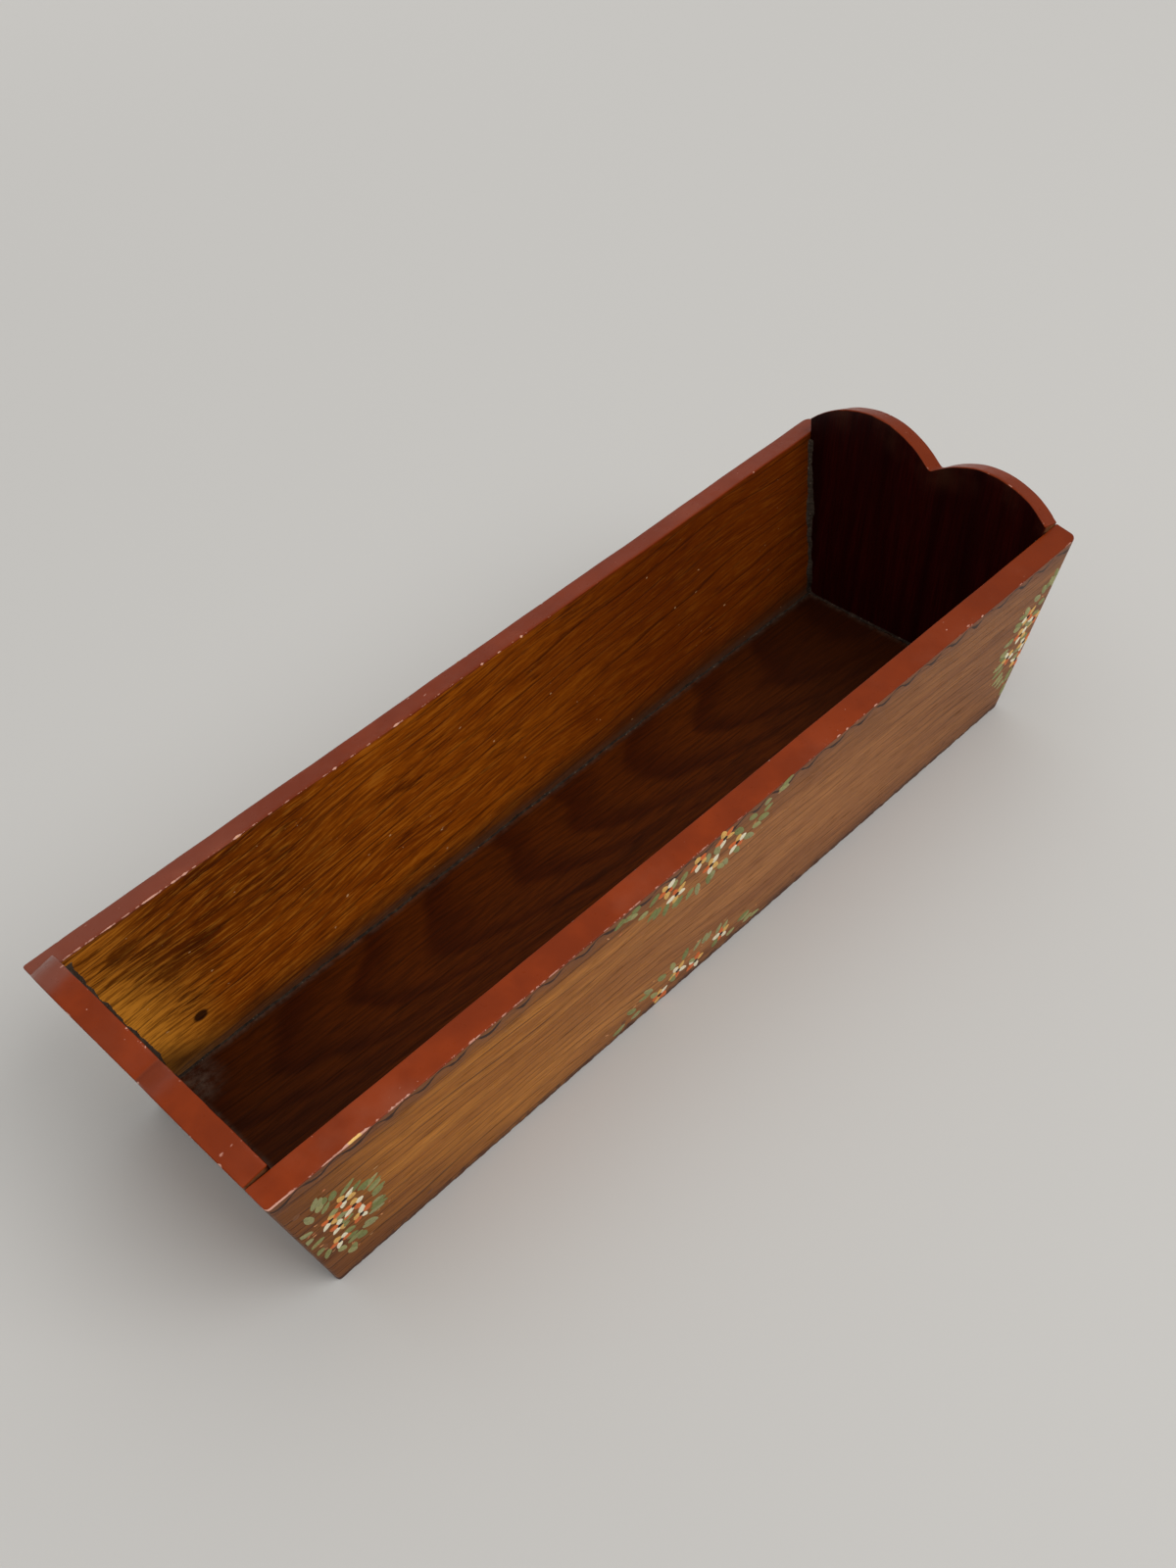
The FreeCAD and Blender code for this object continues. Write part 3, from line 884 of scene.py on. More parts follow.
def coats(colour, masks, rows):
    """Colour under thin coats: each row names a mask, its strength and the colour of the coat."""
    for label, strength, coat in rows:
        colour = blend(times(masks[label], strength), colour, coat)
    return colour


def here():
    """Place of a point in metres."""
    return add("TexCoord", {}).outputs["Object"]


def board_uv():
    """Place of a point on the flat map of its board."""
    return add("UVMap", {}, uv_map="board").outputs[0]


def axes(place):
    """The three parts of a place."""
    return add("SeparateXYZ", {0: place}).outputs


def stretch(place, scale, turn=0.0):
    """Place turned about the third axis, then scaled along each axis."""
    return add("Mapping", {"Vector": place, "Scale": scale, "Rotation": (0.0, 0.0, turn)}).outputs["Vector"]


def noise(place, scale, detail=3.0, rough=0.55, turn=0.0):
    """Uneven value about 0.5. Three scales stretch it, one along each axis, after a turn."""
    if isinstance(scale, tuple):
        place, scale = stretch(place, scale, turn), 1.0
    return add("TexNoise", {"Vector": place, "Scale": scale, "Detail": detail, "Roughness": rough}).outputs[0]


def layer(label):
    """Value that a mesh carries at its points."""
    return add("Attribute", {}, attribute_name=label).outputs["Fac"]


def new_group(name, takes, gives):
    """Empty node group on the bench: its tree, what it takes in and what it gives out, by label and kind."""
    tree = bench["tree"] = bpy.data.node_groups.new(name, "ShaderNodeTree")
    for table, way in ((takes, "INPUT"), (gives, "OUTPUT")):
        for label, kind in table.items():
            tree.interface.new_socket(label, in_out=way, socket_type="NodeSocket" + kind)
    return tree, tree.nodes.new("NodeGroupInput").outputs, tree.nodes.new("NodeGroupOutput").inputs


def use(group, sockets):
    """Group placed on the bench with its own values."""
    return add("Group", sockets, node_tree=group).outputs


# %% [markdown]
# ## Grain
#
# Sawn wood shows its growth at several scales: broad streaks, lighter and darker, thin dark lines where a
# ring was cut, short fibres half a millimetre wide, and finer pores. Streaks, fibres and pores are noise
# that is stretched along the grain. A line darkens slowly across a ring and ends sharply, which is a saw
# wave across the grain. Noise bends all of them and changes the width of the rings, where even lines would
# look printed.

# %% Grain group
RING_GAP = 4.2 * MM


def build_grain():
    """Streaks, Lines, Fibres and Pores from a place in metres whose first axis follows the grain."""
    takes = {"Place": "Vector", "Slope": "Float", "Sway": "Float"}
    gives = {label: "Float" for label in ("Streaks", "Lines", "Fibres", "Pores")}
    tree, given, made = new_group("wood_grain", takes, gives)
    parts = axes(given["Place"])
    slow = noise(given["Place"], (9.0, 30.0, 1.0), 2.0)
    bent = times(minus(slow, 0.5), given["Sway"])
    across = plus(times_plus(parts[0], given["Slope"], parts[1]), bent)
    place = add("CombineXYZ", {0: parts[0], 1: across}).outputs[0]
    broad = noise(place, (7.0, 130.0, 1.0), 4.0, 0.6)
    wire(ramp(broad, 0.3, 0.7), made["Streaks"])
    spread = noise(place, (3.0, 45.0, 1.0))
    turn = times_plus(across, 1 / RING_GAP, times(spread, 4.0))
    ring = fraction(turn)
    late = times(ramp(ring, 0.84, 0.96), ramp(ring, 1.0, 0.98))
    patch = noise(place, (12.0, 70.0, 1.0))
    wire(times(late, ramp(patch, 0.28, 0.52)), made["Lines"])
    thread = noise(place, (80.0, 1300.0, 1.0), 3.0, 0.7)
    wire(ramp(thread, 0.34, 0.66), made["Fibres"])
    dash = noise(place, (110.0, 1500.0, 1.0), 2.0)
    wire(ramp(dash, 0.54, 0.72), made["Pores"])
    return tree


grain_group = build_grain()
print("grain group:", len(grain_group.nodes), "nodes")

# %% [markdown]
# ## Red paint on the rims
#
# The rims are brushed with a red earth colour, satin and a little uneven. The paint ends just past the
# edges in an unsteady line. Along the edges handling has rubbed it thin, to a pinkish grey, and chips show
# pale wood. Blender can find edges by pointiness, but that depends on the mesh. Here the board's own layers
# say how far a point is from the edge of the rim and how deep it lies in a chip.

# %% Rim paint group
PAINT_RED, PAINT_BROWN, PAINT_WORN = srgb(134, 50, 13), srgb(118, 43, 12), srgb(152, 84, 60)
PAINT_DEEP, PAINT_SHEEN = srgb(104, 38, 12), srgb(122, 66, 50)
SCUFF, RAW_WOOD = srgb(208, 154, 134), srgb(236, 188, 112)


def paint_wear(given, place, slow):
    """Mask of rubbed edges and specks, and mask of chips: edge distance against uneven values."""
    edge = magnitude(plus(given["Rim"], 0.1 * MM))
    dashes = noise(place, 380.0, 4.0, 0.7)
    rubbed = most(minus(given["Wear"], 0.9), 0.1)
    widened = times(minus(dashes, 0.5), times(rubbed, 3.0 * MM))
    reach = plus(times_plus(slow, 0.8 * MM, -0.28 * MM), widened)
    near_edge = ramp(minus(edge, reach), 0.14 * MM, -0.04 * MM)
    share = times_plus(least(given["Wear"], 1.25), -0.13, 0.655)
    worn = times(near_edge, ramp(minus(dashes, share), 0.0, 0.06))
    specks = ramp(noise(place, 900.0, 1.0), 0.795, 0.83)
    ragged = times_plus(dashes, 0.6 * MM, -0.3 * MM)
    depth = times_plus(given["Chip"], -0.65 * MM, plus(edge, ragged))
    bitten = ramp(depth, 0.05 * MM, -0.05 * MM)
    chipped = times(bitten, ramp(given["Chip"], 0.08, 0.2))
    return most(worn, times(specks, 0.8)), chipped


def sheen_patches(x, y):
    """Mask of a painted reflection, a greyed sheen on the paint: left hump of the near rim, near part of the
    left rim, side of the notch.
    """
    near_rim = ramp(x, -138 * MM, -145 * MM)
    left_hump = times(ramp(y, 26 * MM, 30 * MM), near_rim)
    left_rim = times(ramp(y, 40 * MM, 46 * MM), ramp(x, -50 * MM, -135 * MM, 0.0, 0.8))
    notch = times(ramp(y, -18 * MM, -4 * MM, 0.0, 0.75), times(ramp(y, -2 * MM, -3 * MM), near_rim))
    return most(most(left_hump, left_rim), notch)


def build_rim_paint():
    """Paint mask, Color, Roughness and Height of the painted rim."""
    takes = {label: "Float" for label in ("Rim", "Chip", "Wear")}
    gives = {"Paint": "Float", "Color": "Color", "Roughness": "Float", "Height": "Float"}
    tree, given, made = new_group("rim_paint", takes, gives)
    place = here()
    slow, brushed = noise(place, 70.0), noise(place, 420.0, 3.0, 0.6)
    border = times_plus(noise(place, 190.0), -1.1 * MM, 0.1 * MM)
    wire(ramp(minus(given["Rim"], border), -0.12 * MM, 0.04 * MM), made["Paint"])
    worn, chipped = paint_wear(given, place, slow)
    red = blend(ramp(slow, 0.35, 0.7), PAINT_BROWN, PAINT_RED)
    parts = axes(place)
    # Darker towards the far end, which is painted shade, and darker on the left rim.
    darker = most(ramp(parts[0], -10 * MM, 140 * MM, 0.0, 0.6), ramp(parts[1], 34 * MM, 44 * MM, 0.0, 0.5))
    red = blend(darker, red, PAINT_DEEP)
    # Greyed, mauve patches on the humps' slopes and the left rim: painted reflection.
    red = blend(times(sheen_patches(*parts[:2]), 0.7), red, PAINT_SHEEN)
    nicks = ramp(noise(place, (220.0, 420.0, 300.0), 2.0), 0.74, 0.77, 0.0, 0.6)
    red = blend(nicks, red, SCUFF)
    haze = ramp(noise(place, 38.0, 5.0, 0.6), 0.48, 0.74)
    faded = times(haze, times_plus(given["Wear"], 0.18, 0.1))
    red = blend(faded, red, PAINT_WORN)
    red = blend(times(worn, 0.75), red, SCUFF)
    bare = blend(ramp(given["Chip"], 0.78, 0.9), SCUFF, RAW_WOOD)
    wire(blend(chipped, red, bare), made["Color"])
    gloss = ramp(brushed, 0.3, 0.75, 0.27, 0.40)
    wire(plus(gloss, times(worn, 0.3)), made["Roughness"])
    wire(minus(times(brushed, 0.35), chipped), made["Height"])
    return tree


rim_paint = build_rim_paint()
print("rim paint group:", len(rim_paint.nodes), "nodes")

# %% [markdown]
# ## Antiquing on the outside
#
# Under the rim a thin dark glaze was brushed on, and its lower border is a wavy line drawn by hand, now
# thick and now thin. The same glaze darkens the face towards its foot and its corners, and the foot itself
# is a narrow red brown strip under a thin dark line. Towards the far end a painted shade darkens the face
# further and reaches further down from the rim. The wave is a sine of the way along the board; noise
# shifts it and changes its width.

# %% Antiquing group
WAVE_PITCH = 10.6 * MM
WAVE_HEIGHT = 1.0 * MM
WAVE_DEPTH = 2.0 * MM
BAND_REACH = 5.5 * MM
GLAZE_REACH = 11.0 * MM
STRIP_HEIGHT = 2.0 * MM


def build_antiquing():
    """Line: the wavy stroke. Band: the glaze about it. Shade: the glaze's darkening towards the edges of the
    face, and painted shade towards the far end.

    Strip: the red brown foot. Seam: the thin dark line over it.
    """
    takes = {label: "Float" for label in ("Rim", "Trail", "Border", "Foot")}
    gives = {label: "Float" for label in ("Line", "Band", "Shade", "Strip", "Seam")}
    tree, given, made = new_group("antiquing", takes, gives)
    place = here()
    shaky, rough = noise(place, 60.0), noise(place, 330.0, 3.0, 0.6)
    phase = times_plus(shaky, 4.0, times(given["Trail"], 2 * math.pi / WAVE_PITCH))
    beat = sine(phase)
    drop = times_plus(beat, WAVE_HEIGHT, WAVE_DEPTH)
    away = minus(times(given["Rim"], -1.0), drop)
    thick = times_plus(beat, 0.22 * MM, times_plus(rough, 1.5 * MM, -0.4 * MM))
    stroke = ramp(minus(magnitude(away), thick), 0.16 * MM, -0.12 * MM)
    wire(stroke, made["Line"])
    wire(ramp(away, BAND_REACH, -0.5 * MM), made["Band"])
    uneven = times_plus(noise(place, 28.0, 4.0), 10 * MM, -5 * MM)
    near = ramp(given["Trail"], -70 * MM, -128 * MM, 1.0, 2.7)
    low = ramp(divided(plus(given["Border"], uneven), near), 1.2 * GLAZE_REACH, 0.0)
    # Under the rim the darkening reaches further towards the far end: painted shade.
    spread = ramp(given["Trail"], 10 * MM, 80 * MM, 1.0, 2.2)
    high = ramp(divided(plus(given["Rim"], uneven), spread), -1.2 * GLAZE_REACH, 0.0)
    # Darker towards the far end: painted shade.
    far = ramp(given["Trail"], 40 * MM, 130 * MM, 0.0, 0.7)
    wire(most(most(low, high), far), made["Shade"])
    foot = times_plus(rough, 7.0 * MM, minus(given["Foot"], 3.2 * MM))
    wire(ramp(foot, STRIP_HEIGHT + 0.1 * MM, STRIP_HEIGHT - 0.1 * MM), made["Strip"])
    over = magnitude(minus(foot, STRIP_HEIGHT + 0.3 * MM))
    wire(ramp(over, 0.4 * MM, 0.1 * MM), made["Seam"])
    return tree


antiquing = build_antiquing()
print("antiquing group:", len(antiquing.nodes), "nodes")

# %% [markdown]
# ## Varnish on the outside
#
# Outside, a side is golden brown under its varnish and duller and greyer towards the far end, partly in
# its own tone and partly as a painted sheen. A picture of oak would show the same figure on every board.
# Here a golden and a greyed colouring are mixed by the streaks of the grain and by the way along the board,
# and the antiquing lies over them in thin coats.

# %% Outer colouring
GOLD, UMBER = srgb(197, 126, 44), srgb(162, 96, 28)
GREYED, GREYED_UMBER = srgb(177, 117, 66), srgb(150, 94, 52)
OAK_LINE, GLAZE, END_GRAIN = srgb(78, 40, 17), srgb(118, 78, 58), srgb(98, 58, 30)
STROKE, FOOT = srgb(50, 30, 22), srgb(66, 28, 18)


def start_material(name):
    """New material on the bench, and its shader."""
    material = bpy.data.materials.new(name)
    material.use_nodes = True
    bench["tree"] = material.node_tree
    shader = material.node_tree.nodes["Principled BSDF"]
    shader.inputs["Specular IOR Level"].default_value = 0.08
    return material, shader


def finish_surface(shader, colour, roughness, height, relief):
    """Join colour, roughness and a bump of a given relief in metres to the shader."""
    wire(colour, shader.inputs["Base Color"])
    wire(roughness, shader.inputs["Roughness"])
    bump = add("Bump", {"Height": height, "Distance": relief, "Strength": 1.0})
    wire(bump.outputs[0], shader.inputs["Normal"])


def outer_wood(grain, trail):
    """Varnished outside: gold and umber by streaks, greyer along the length with a painted sheen, thin dark
    lines and pores.
    """
    # Greyer towards the far end: partly the wood's tone, partly a painted sheen.
    dull = ramp(trail, -100 * MM, 10 * MM, 0.0, 0.9)
    base = blend(grain["Streaks"], UMBER, GOLD)
    base = blend(dull, base, blend(grain["Streaks"], GREYED_UMBER, GREYED))
    base = blend(ramp(grain["Fibres"], 0.0, 1.0, 0.36, 0.0), base, OAK_LINE)
    base = blend(times(grain["Lines"], ramp(dull, 0.0, 1.0, 0.85, 0.6)), base, OAK_LINE)
    return blend(times(grain["Pores"], 0.42), base, OAK_LINE)


def antiqued(wood, trail):
    """Glaze over the outside: shade first, then the band under the rim, then the wavy stroke."""
    places = {label.capitalize(): layer(label) for label in ("rim", "border", "foot")}
    glaze = use(antiquing, {"Trail": trail, **places})
    depth = ramp(trail, -85 * MM, -135 * MM, 0.42, 0.7)
    wood = blend(times(glaze["Shade"], depth), wood, GLAZE, "MULTIPLY")
    rows = (("Band", 0.45, GLAZE), ("Strip", 0.8, FOOT), ("Seam", 0.5, STROKE), ("Line", 0.95, STROKE))
    return coats(wood, glaze, rows)


# %% [markdown]
# ## Stain on the inside
#
# The stain went on unevenly inside. It is golden at the near corner, which is painted light, rusty and
# darker towards the far end, partly from the stain and partly as painted shade, and dark where a blunt
# plane tore the grain in the upper near quarter. Pale specks along the grain are painted glints. Each of
# these could be painted by hand as a mask. Here a mask is a ramp along the board times a ramp up its face,
# broken up by noise that is stretched along the grain, so it follows the wood.

# %% Inner colouring
AMBER, HONEY, GOLDEN = srgb(127, 58, 4), srgb(149, 75, 7), srgb(220, 143, 46)
DARK_AMBER, TORN_DARK, RUST_AND_SHADE = srgb(84, 33, 3), srgb(66, 24, 3), srgb(86, 30, 1)
STAIN, LOW_DARKENING = srgb(46, 14, 2), srgb(50, 29, 15)
GLINT, KNOT_DARK, DUST = srgb(206, 162, 116), srgb(34, 12, 6), srgb(94, 78, 66)
KNOT_UV = (SIDE_MAP_SHIFT - 121.2 * MM, 2 * SIDE_TOP + SIDE_THICKNESS - 23.3 * MM, 0.0)
KNOT_SIZE = (2.3 * MM, 1.55 * MM)
KNOT_TURN, TEAR_TURN = 0.2, 0.12


def torn_grain(base, place, foot, trail):
    """Darker quarter of the face, with dashes where a sum of a fine and a broad noise passes a level."""
    patches = noise(place, (40.0, 75.0, 75.0), turn=TEAR_TURN)
    dashes = noise(place, (75.0, 900.0, 900.0), 4.0, 0.65, TEAR_TURN)
    torn = times_plus(dashes, 0.7, times(patches, 0.5))
    quarter = times(ramp(trail, -45 * MM, -80 * MM), ramp(foot, 26 * MM, 46 * MM))
    quarter = times(quarter, ramp(trail, -141 * MM, -122 * MM))
    base = blend(times(quarter, 0.45), base, DARK_AMBER)
    torn = times_plus(quarter, 0.085, minus(torn, 0.03))
    return blend(ramp(torn, 0.63, 0.74, 0.0, 0.75), base, TORN_DARK)


def floor_darkening(base, place, foot, trail):
    """Darkening that climbs unevenly from the floor, higher at the near end, and a thin band of dust."""
    uneven = times_plus(noise(place, 110.0, 4.0), 6 * MM, -3 * MM)
    uneven = plus(uneven, ramp(trail, -122 * MM, -142 * MM, 0.0, -6.5 * MM))
    # Darker towards the floor, climbing higher at the near end.
    base = blend(ramp(plus(foot, uneven), 21 * MM, 10 * MM, 0.0, 0.8), base, LOW_DARKENING)
    dusted = ramp(foot, FLOOR_HEIGHT + 2.4 * MM, FLOOR_HEIGHT + 0.4 * MM, 0.0, 0.3)
    return blend(times(dusted, noise(place, 500.0, 4.0, 0.7)), base, DUST)


def knot(base):
    """Dark oval: distance from its middle on the flat map, measured in its own two radii."""
    offset = add("VectorMath", {0: board_uv(), 1: KNOT_UV}, operation="SUBTRACT").outputs[0]
    oval = stretch(offset, (1 / KNOT_SIZE[0], 1 / KNOT_SIZE[1], 1.0), KNOT_TURN)
    ring = add("VectorMath", {0: oval}, operation="LENGTH").outputs["Value"]
    return blend(ramp(ring, 1.25, 0.75, 0.0, 0.92), base, KNOT_DARK)


def inner_wood(grain):
    """Stained inside: amber and honey by streaks, painted light at one end, rusty and partly painted shade
    at the other, then its marks and painted glints.
    """
    place, foot, trail = here(), layer("foot"), layer("trail")
    base = blend(grain["Streaks"], AMBER, HONEY)
    # Golden and lighter at the near end, most of all low on the face: painted light.
    painted_light = times(ramp(trail, -108 * MM, -142 * MM, 0.0, 0.9), ramp(foot, 60 * MM, 38 * MM, 0.35, 1.0))
    base = blend(painted_light, base, GOLDEN)
    # Rusty and darker towards the far end: partly the stain, partly painted shade.
    base = blend(ramp(trail, -25 * MM, 80 * MM, 0.0, 0.8), base, RUST_AND_SHADE)
    base = torn_grain(base, place, foot, trail)
    base = blend(ramp(grain["Fibres"], 0.0, 0.6, 0.55, 0.0), base, DARK_AMBER)
    shine = times(ramp(grain["Fibres"], 0.6, 1.0), ramp(trail, -110 * MM, 60 * MM, 0.24, 0.06))
    base = blend(shine, base, GOLDEN)
    base = coats(base, grain, (("Lines", 0.6, STAIN), ("Pores", 0.45, STAIN)))
    # Pale specks along the grain: painted glints of light.
    specks = ramp(noise(place, (420.0, 800.0, 800.0), 1.0, turn=TEAR_TURN), 0.77, 0.81, 0.0, 0.7)
    return knot(floor_darkening(blend(specks, base, GLINT), place, foot, trail))


# %% [markdown]
# ## Finish of the sides
#
# Both faces belong to the same board, so one material serves both. The layer called inside chooses between
# the two colourings of the same grain, darker end grain closes the ends, and the rim's paint lies over all
# of them.

# %% Side finish
def dress(material, *pieces):
    """Give a finish to some pieces."""
    for piece in pieces:
        piece.data.materials.clear()
        piece.data.materials.append(material)
    print(f"{material.name}: {len(material.node_tree.nodes)} nodes, {len(pieces)} pieces")


def board_finish(name, slope, sway, inner, cap_share, smooth, cuts, relief):
    """Outside, inside and rim of a board. inner colours the inside, cuts is how deep lines and pores go."""
    material, shader = start_material(name)
    trail = layer("trail")
    grain = use(grain_group, {"Place": board_uv(), "Slope": slope, "Sway": sway})
    wood = blend(layer("inside"), antiqued(outer_wood(grain, trail), trail), inner(grain))
    cut_end = blend(ramp(noise(here(), 900.0), 0.4, 0.7), END_GRAIN, OAK_LINE)
    wood = blend(times(layer("cap"), cap_share), wood, cut_end)
    paint = use(rim_paint, {label.capitalize(): layer(label) for label in ("rim", "chip", "wear")})
    gloss = {0: paint["Paint"], 2: ramp(grain["Pores"], 0.0, 1.0, *smooth), 3: paint["Roughness"]}
    cut = plus(times(grain["Lines"], cuts[0]), times(grain["Pores"], cuts[1]))
    height = {0: paint["Paint"], 2: cut, 3: paint["Height"]}
    colour = blend(paint["Paint"], wood, paint["Color"])
    finish_surface(shader, colour, add("Mix", gloss).outputs[0], add("Mix", height).outputs[0], relief)
    return material


side_finish = board_finish("side_finish", slope=0.055, sway=0.012, inner=inner_wood, cap_share=1.0,
                           smooth=(0.40, 0.56), cuts=(-0.4, -0.4), relief=0.09 * MM)
dress(side_finish, left_board, right_board)

# %% [markdown]
# ## Finish of the ends
#
# The ends are cut from a darker, redder wood, with upright grain, and inside their stain is nearly black.
# Outside they are taken to be varnished and antiqued as the sides are. Dust lies just under the humps,
# where a cloth seldom reaches.

# %% End finish
MAHOGANY, BLACK_RED, DUSTY = srgb(54, 5, 3), srgb(28, 1, 1), srgb(112, 70, 46)


def end_stain(grain):
    """Nearly black inside: stain by streaks and fibres, with dust under the humps."""
    stain = blend(grain["Streaks"], BLACK_RED, MAHOGANY)
    stain = blend(ramp(grain["Fibres"], 0.0, 1.0, 0.6, 0.0), stain, BLACK_RED)
    settled = ramp(noise(here(), 55.0, 4.0), 0.42, 0.75)
    dust = times(ramp(layer("rim"), -11 * MM, -3 * MM), settled)
    return blend(times(dust, 0.2), stain, DUSTY)


end_finish = board_finish("end_finish", slope=0.02, sway=0.006, inner=end_stain, cap_share=0.0,
                          smooth=(0.42, 0.55), cuts=(-0.6, 0.0), relief=0.08 * MM)
dress(end_finish, near_board, far_board)

# %% [markdown]
# ## Finish of the bottom
#
# The bottom has the same dark stain, less dense: its rings show as dark reddish contours, sharp on one side
# and fading on the other. They are arches that point towards the near end, with a short arm to the left
# wall and a long one that runs out along the grain. So a saw wave runs along the board, and its place is
# shifted by a square and a cube of the distance from the line of the tips. Dust has gathered along the
# walls and in the near left corner.

# %% Bottom finish
FLOOR_DARK, FLOOR_AMBER = srgb(42, 7, 1), srgb(78, 32, 2)
FLOOR_LINE = srgb(30, 9, 2)
CONTOUR_PITCH = 29 * MM
TIP_LINE = 17 * MM
ARM_REACH = 16 * MM
ARM_SQUARE = 18.4 * MM
ARM_CUBE = 10.6 * MM
DUST_CORNER = (-133 * MM, 30 * MM, FLOOR_HEIGHT)


def bottom_material():
    """Dark stained board with swept contours, painted shade towards both ends, grain along it and dust at
    the walls.
    """
    material, shader = start_material("bottom_finish")
    place = here()
    parts = axes(place)
    grain = use(grain_group, {"Place": place, "Slope": 0.03, "Sway": 0.01})
    away = divided(minus(TIP_LINE, parts[1]), ARM_REACH)
    arm = times(times(away, away), times_plus(away, ARM_CUBE, ARM_SQUARE))
    swept = minus(parts[0], arm)
    bent = noise(place, (14.0, 42.0, 1.0))
    turn = times_plus(swept, 1 / CONTOUR_PITCH, times(bent, 1.5))
    ring = fraction(turn)
    contour = most(ramp(ring, 0.6, 0.0), ramp(ring, 0.8, 1.0))
    strength = ramp(away, 0.2, 1.7, 0.6, 0.25)
    colour = blend(times(contour, strength), FLOOR_AMBER, FLOOR_DARK)
    # Darker towards both ends, where the end boards shade the bottom: painted shade.
    dark = most(ramp(parts[0], 60 * MM, 125 * MM, 0.0, 0.7), ramp(parts[0], -60 * MM, -125 * MM, 0.0, 0.35))
    colour = blend(dark, colour, FLOOR_LINE)
    colour = blend(ramp(grain["Fibres"], 0.0, 1.0, 0.5, 0.0), colour, FLOOR_LINE)
    colour = coats(colour, grain, (("Lines", 0.4, FLOOR_LINE), ("Pores", 0.35, FLOOR_LINE)))
    wall = side_face(FLOOR_HEIGHT, SIDE_THICKNESS)
    corner = end_face(FLOOR_HEIGHT, END_THICKNESS)
    to_wall = minus(wall, magnitude(parts[1]))
    to_end = minus(corner, magnitude(parts[0]))
    nearest = least(to_wall, to_end)
    to_corner = add("VectorMath", {0: place, 1: DUST_CORNER}, operation="DISTANCE").outputs["Value"]
    reach = most(ramp(nearest, 2.6 * MM, 0.3 * MM), ramp(to_corner, 11 * MM, 1 * MM))
    settled = times(reach, ramp(noise(place, 260.0, 6.0, 0.75), 0.3, 0.7))
    dusty = ramp(parts[0], -20 * MM, -120 * MM, 0.3, 0.55)
    colour = blend(times(settled, dusty), colour, DUST)
    shader.inputs["Specular IOR Level"].default_value = 0.04
    roughness = ramp(grain["Pores"], 0.0, 1.0, 0.46, 0.6)
    finish_surface(shader, colour, roughness, times(grain["Lines"], -0.6), 0.08 * MM)
    return material


dress(bottom_material(), bottom_board)

# %% [markdown]
# ## Small finishes
#
# Old glue is dark and dull with grey dust in its pits and lighter crumbs. Putty has taken the varnish and
# nearly matches the wood. The dabs keep their own colour, with faint streaks from the brush. The brads are
# plain steel that has browned, and sit wholly inside the wood.

# %% Glue, putty, dabs and brads
BRUSH_SHADE = srgb(96, 62, 40)


def speckled(name, dark, light, crumb, scale, relief, roughness, pale=0.0):
    """Two uneven colours with crumbs and a bump. pale is the share of the crumbs' colour higher up, painted
    light on runs that lie in shade.
    """
    material, shader = start_material(name)
    place = here()
    uneven = noise(place, scale, 5.0, 0.7)
    colour = blend(ramp(uneven, 0.38, 0.66), dark, light)
    colour = blend(ramp(noise(place, 3.1 * scale, 2.0), 0.64, 0.74, 0.0, 0.8), colour, crumb)
    height = axes(place)[2]
    # Lighter higher up the upright runs, which lie in shade: painted light.
    colour = blend(ramp(height, 14 * MM, 24 * MM, 0.0, pale), colour, crumb)
    finish_surface(shader, colour, ramp(uneven, 0.3, 0.7, *roughness), uneven, relief)
    return material


def dab_material():
    """Each dab's own colour, lightened and darkened by fine streaks."""
    material, shader = start_material("dab_paint")
    place = here()
    tint = add("Attribute", {}, attribute_name="tint").outputs["Color"]
    streak = noise(place, 1500.0, 3.0, 0.6)
    colour = blend(ramp(streak, 0.45, 0.75, 0.0, 0.35), tint, BRUSH_SHADE, "MULTIPLY")
    finish_surface(shader, colour, ramp(streak, 0.3, 0.7, 0.34, 0.48), streak, 0.05 * MM)
    return material


glue_finish = speckled("old_glue_finish", dark=srgb(32, 23, 17), light=srgb(56, 44, 35),
                       crumb=srgb(124, 108, 92), scale=420.0, relief=0.2 * MM, roughness=(0.7, 0.9),
                       pale=0.12)
putty_finish = speckled("putty_finish", dark=srgb(112, 70, 44), light=srgb(136, 88, 54),
                        crumb=srgb(92, 56, 36), scale=700.0, relief=0.05 * MM, roughness=(0.4, 0.55))
brad_finish = speckled("brad_steel_finish", dark=srgb(120, 116, 112), light=srgb(150, 146, 140),
                       crumb=srgb(96, 70, 52), scale=900.0, relief=0.03 * MM, roughness=(0.35, 0.55))
brad_finish.node_tree.nodes["Principled BSDF"].inputs["Metallic"].default_value = 1.0
dress(glue_finish, glue)
dress(putty_finish, *putty)
dress(dab_material(), *painted)
dress(brad_finish, *(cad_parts[name] for name in ("corner_brads", "bottom_brads")))

# %% [markdown]
# ## Floor and light
#
# A plain pale floor and soft light, as in a small studio. A large soft lamp stands to the right of the box,
# and a weak one behind it puts a sheen on the left rim. The sky gives the rest, brighter above than near
# the horizon. Together they light a white card on the floor to about white, so colours come out about as
# they are written.

# %% Studio
STUDIO_REACH = 3.0
STUDIO_GREY = srgb(196, 194, 190)


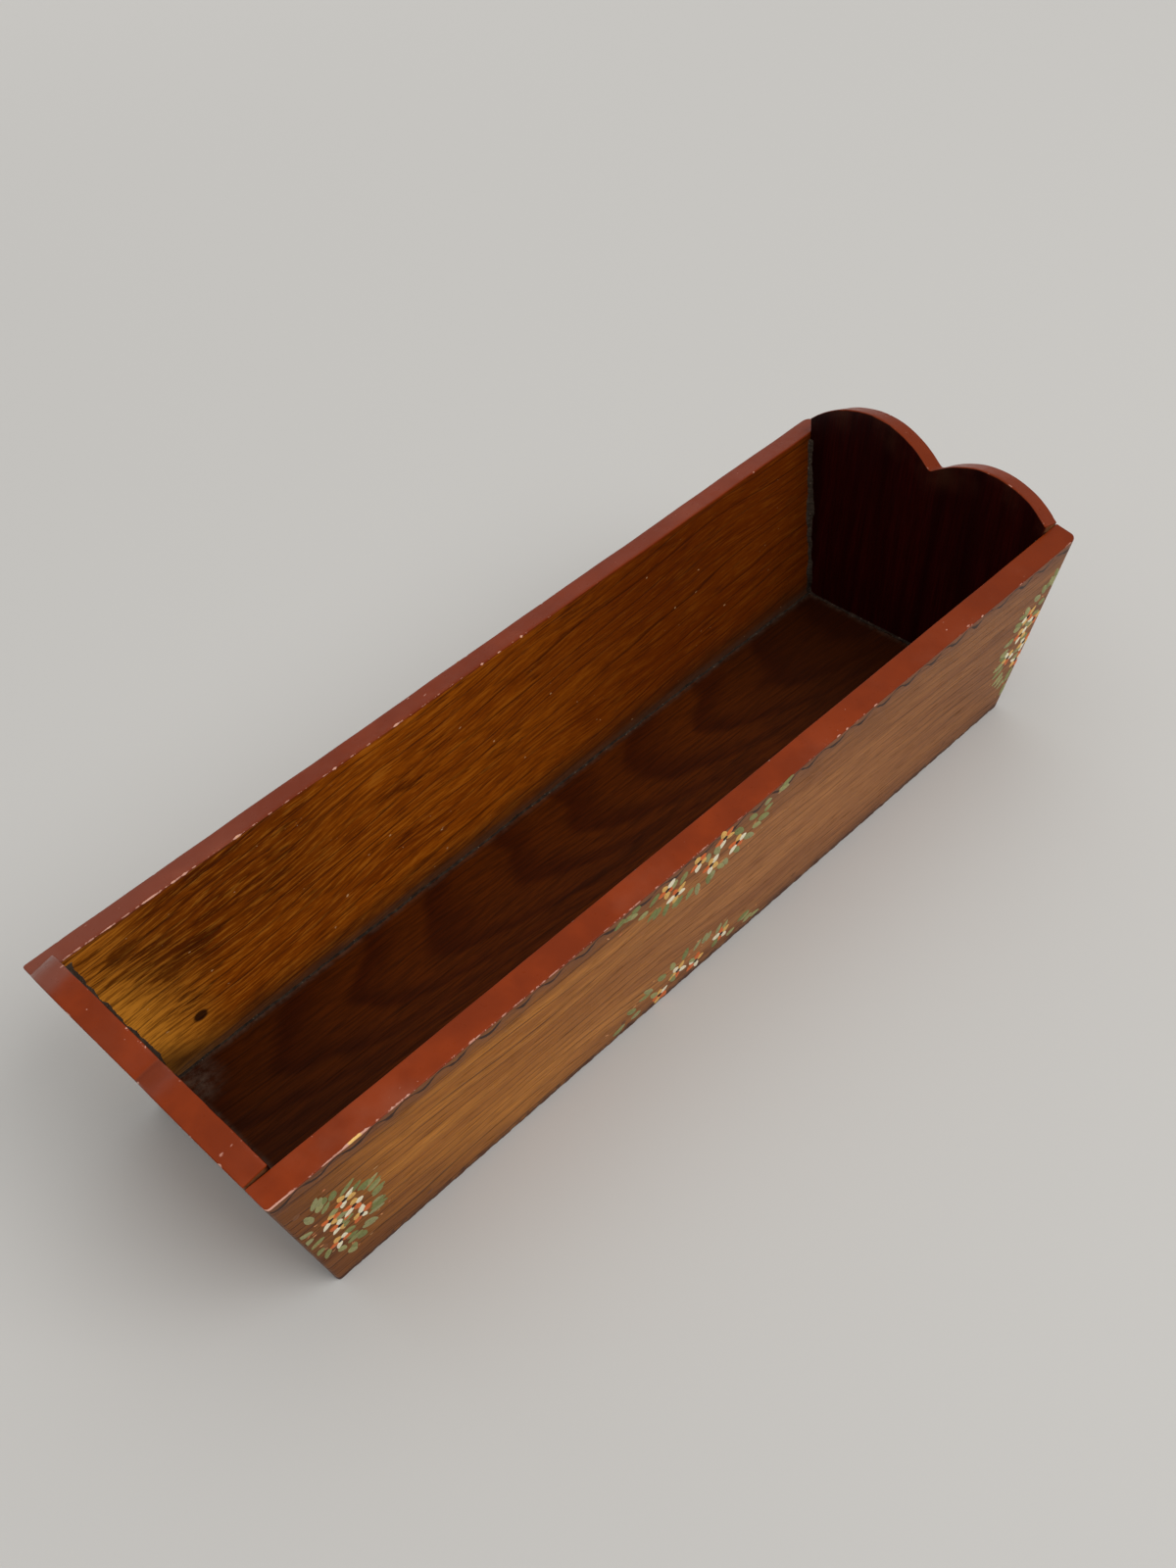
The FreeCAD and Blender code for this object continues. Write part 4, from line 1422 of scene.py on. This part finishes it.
def studio_floor():
    """Square sheet under the box: a grid of two parameters, level at height zero."""
    reach = np.linspace(-STUDIO_REACH, STUDIO_REACH, 3)
    across, along = np.meshgrid(reach, reach)
    points = np.stack((across, along, np.zeros_like(across)), axis=-1).reshape(-1, 3)
    index = np.arange(9).reshape(3, 3)
    faces = np.stack((index[:-1, :-1], index[:-1, 1:], index[1:, 1:], index[1:, :-1]), axis=-1).reshape(-1, 4)
    mesh = bpy.data.meshes.new("studio_floor")
    mesh.from_pydata(points.tolist(), [], faces.tolist())
    sheet = bpy.data.objects.new("studio_floor", mesh)
    bpy.context.scene.collection.objects.link(sheet)
    material, shader = start_material("pale_floor")
    shader.inputs["Base Color"].default_value = STUDIO_GREY
    shader.inputs["Roughness"].default_value = 0.9
    shader.inputs["Specular IOR Level"].default_value = 0.1
    mesh.materials.append(material)
    sheet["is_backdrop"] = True


def studio_sky(low, high):
    """World whose strength climbs from low at the horizon to high overhead."""
    world = bpy.data.worlds.new("studio_sky")
    world.use_nodes = True
    tree = bench["tree"] = world.node_tree
    ray = add("TexCoord", {}).outputs["Generated"]
    climb = axes(ray)[2]
    wire(ramp(climb, 0.3, 1.0, low, high), tree.nodes["Background"].inputs["Strength"])
    tree.nodes["Background"].inputs["Color"].default_value = (1.0, 1.0, 1.0, 1.0)
    bpy.context.scene.world = world


def studio_lamp(name, place, size, energy):
    """Soft lamp, so wide and so high, that faces the box."""
    lamp = bpy.data.lights.new(name, "AREA")
    lamp.shape = "RECTANGLE"
    lamp.size, lamp.size_y = size
    lamp.energy = energy
    holder = bpy.data.objects.new(name, lamp)
    holder.location = place
    holder.rotation_mode = "QUATERNION"
    holder.rotation_quaternion = (-Vector(place)).to_track_quat("-Z", "Y")
    holder.visible_camera = False
    bpy.context.scene.collection.objects.link(holder)


studio_floor()
studio_sky(low=0.22, high=1.03)
studio_lamp("soft_lamp", place=(0.6, -1.5, 1.65), size=(1.6, 1.6), energy=27.8)
studio_lamp("back_lamp", place=(0.5, 1.27, 0.57), size=(2.1, 0.7), energy=3.4)
print("floor, sky and two lamps")

# %% [markdown]
# ## Size of the dressed box
#
# The dressed box has to stay as large as the measured one. The last cell prints how far its highest corner
# grew past the measured box.

# %% Finish
visual_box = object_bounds()
growth = [round((b - a) / MM, 2) for a, b in zip(cad_box[1], visual_box[1])]
print("box grew by", growth, "mm at its highest corner")
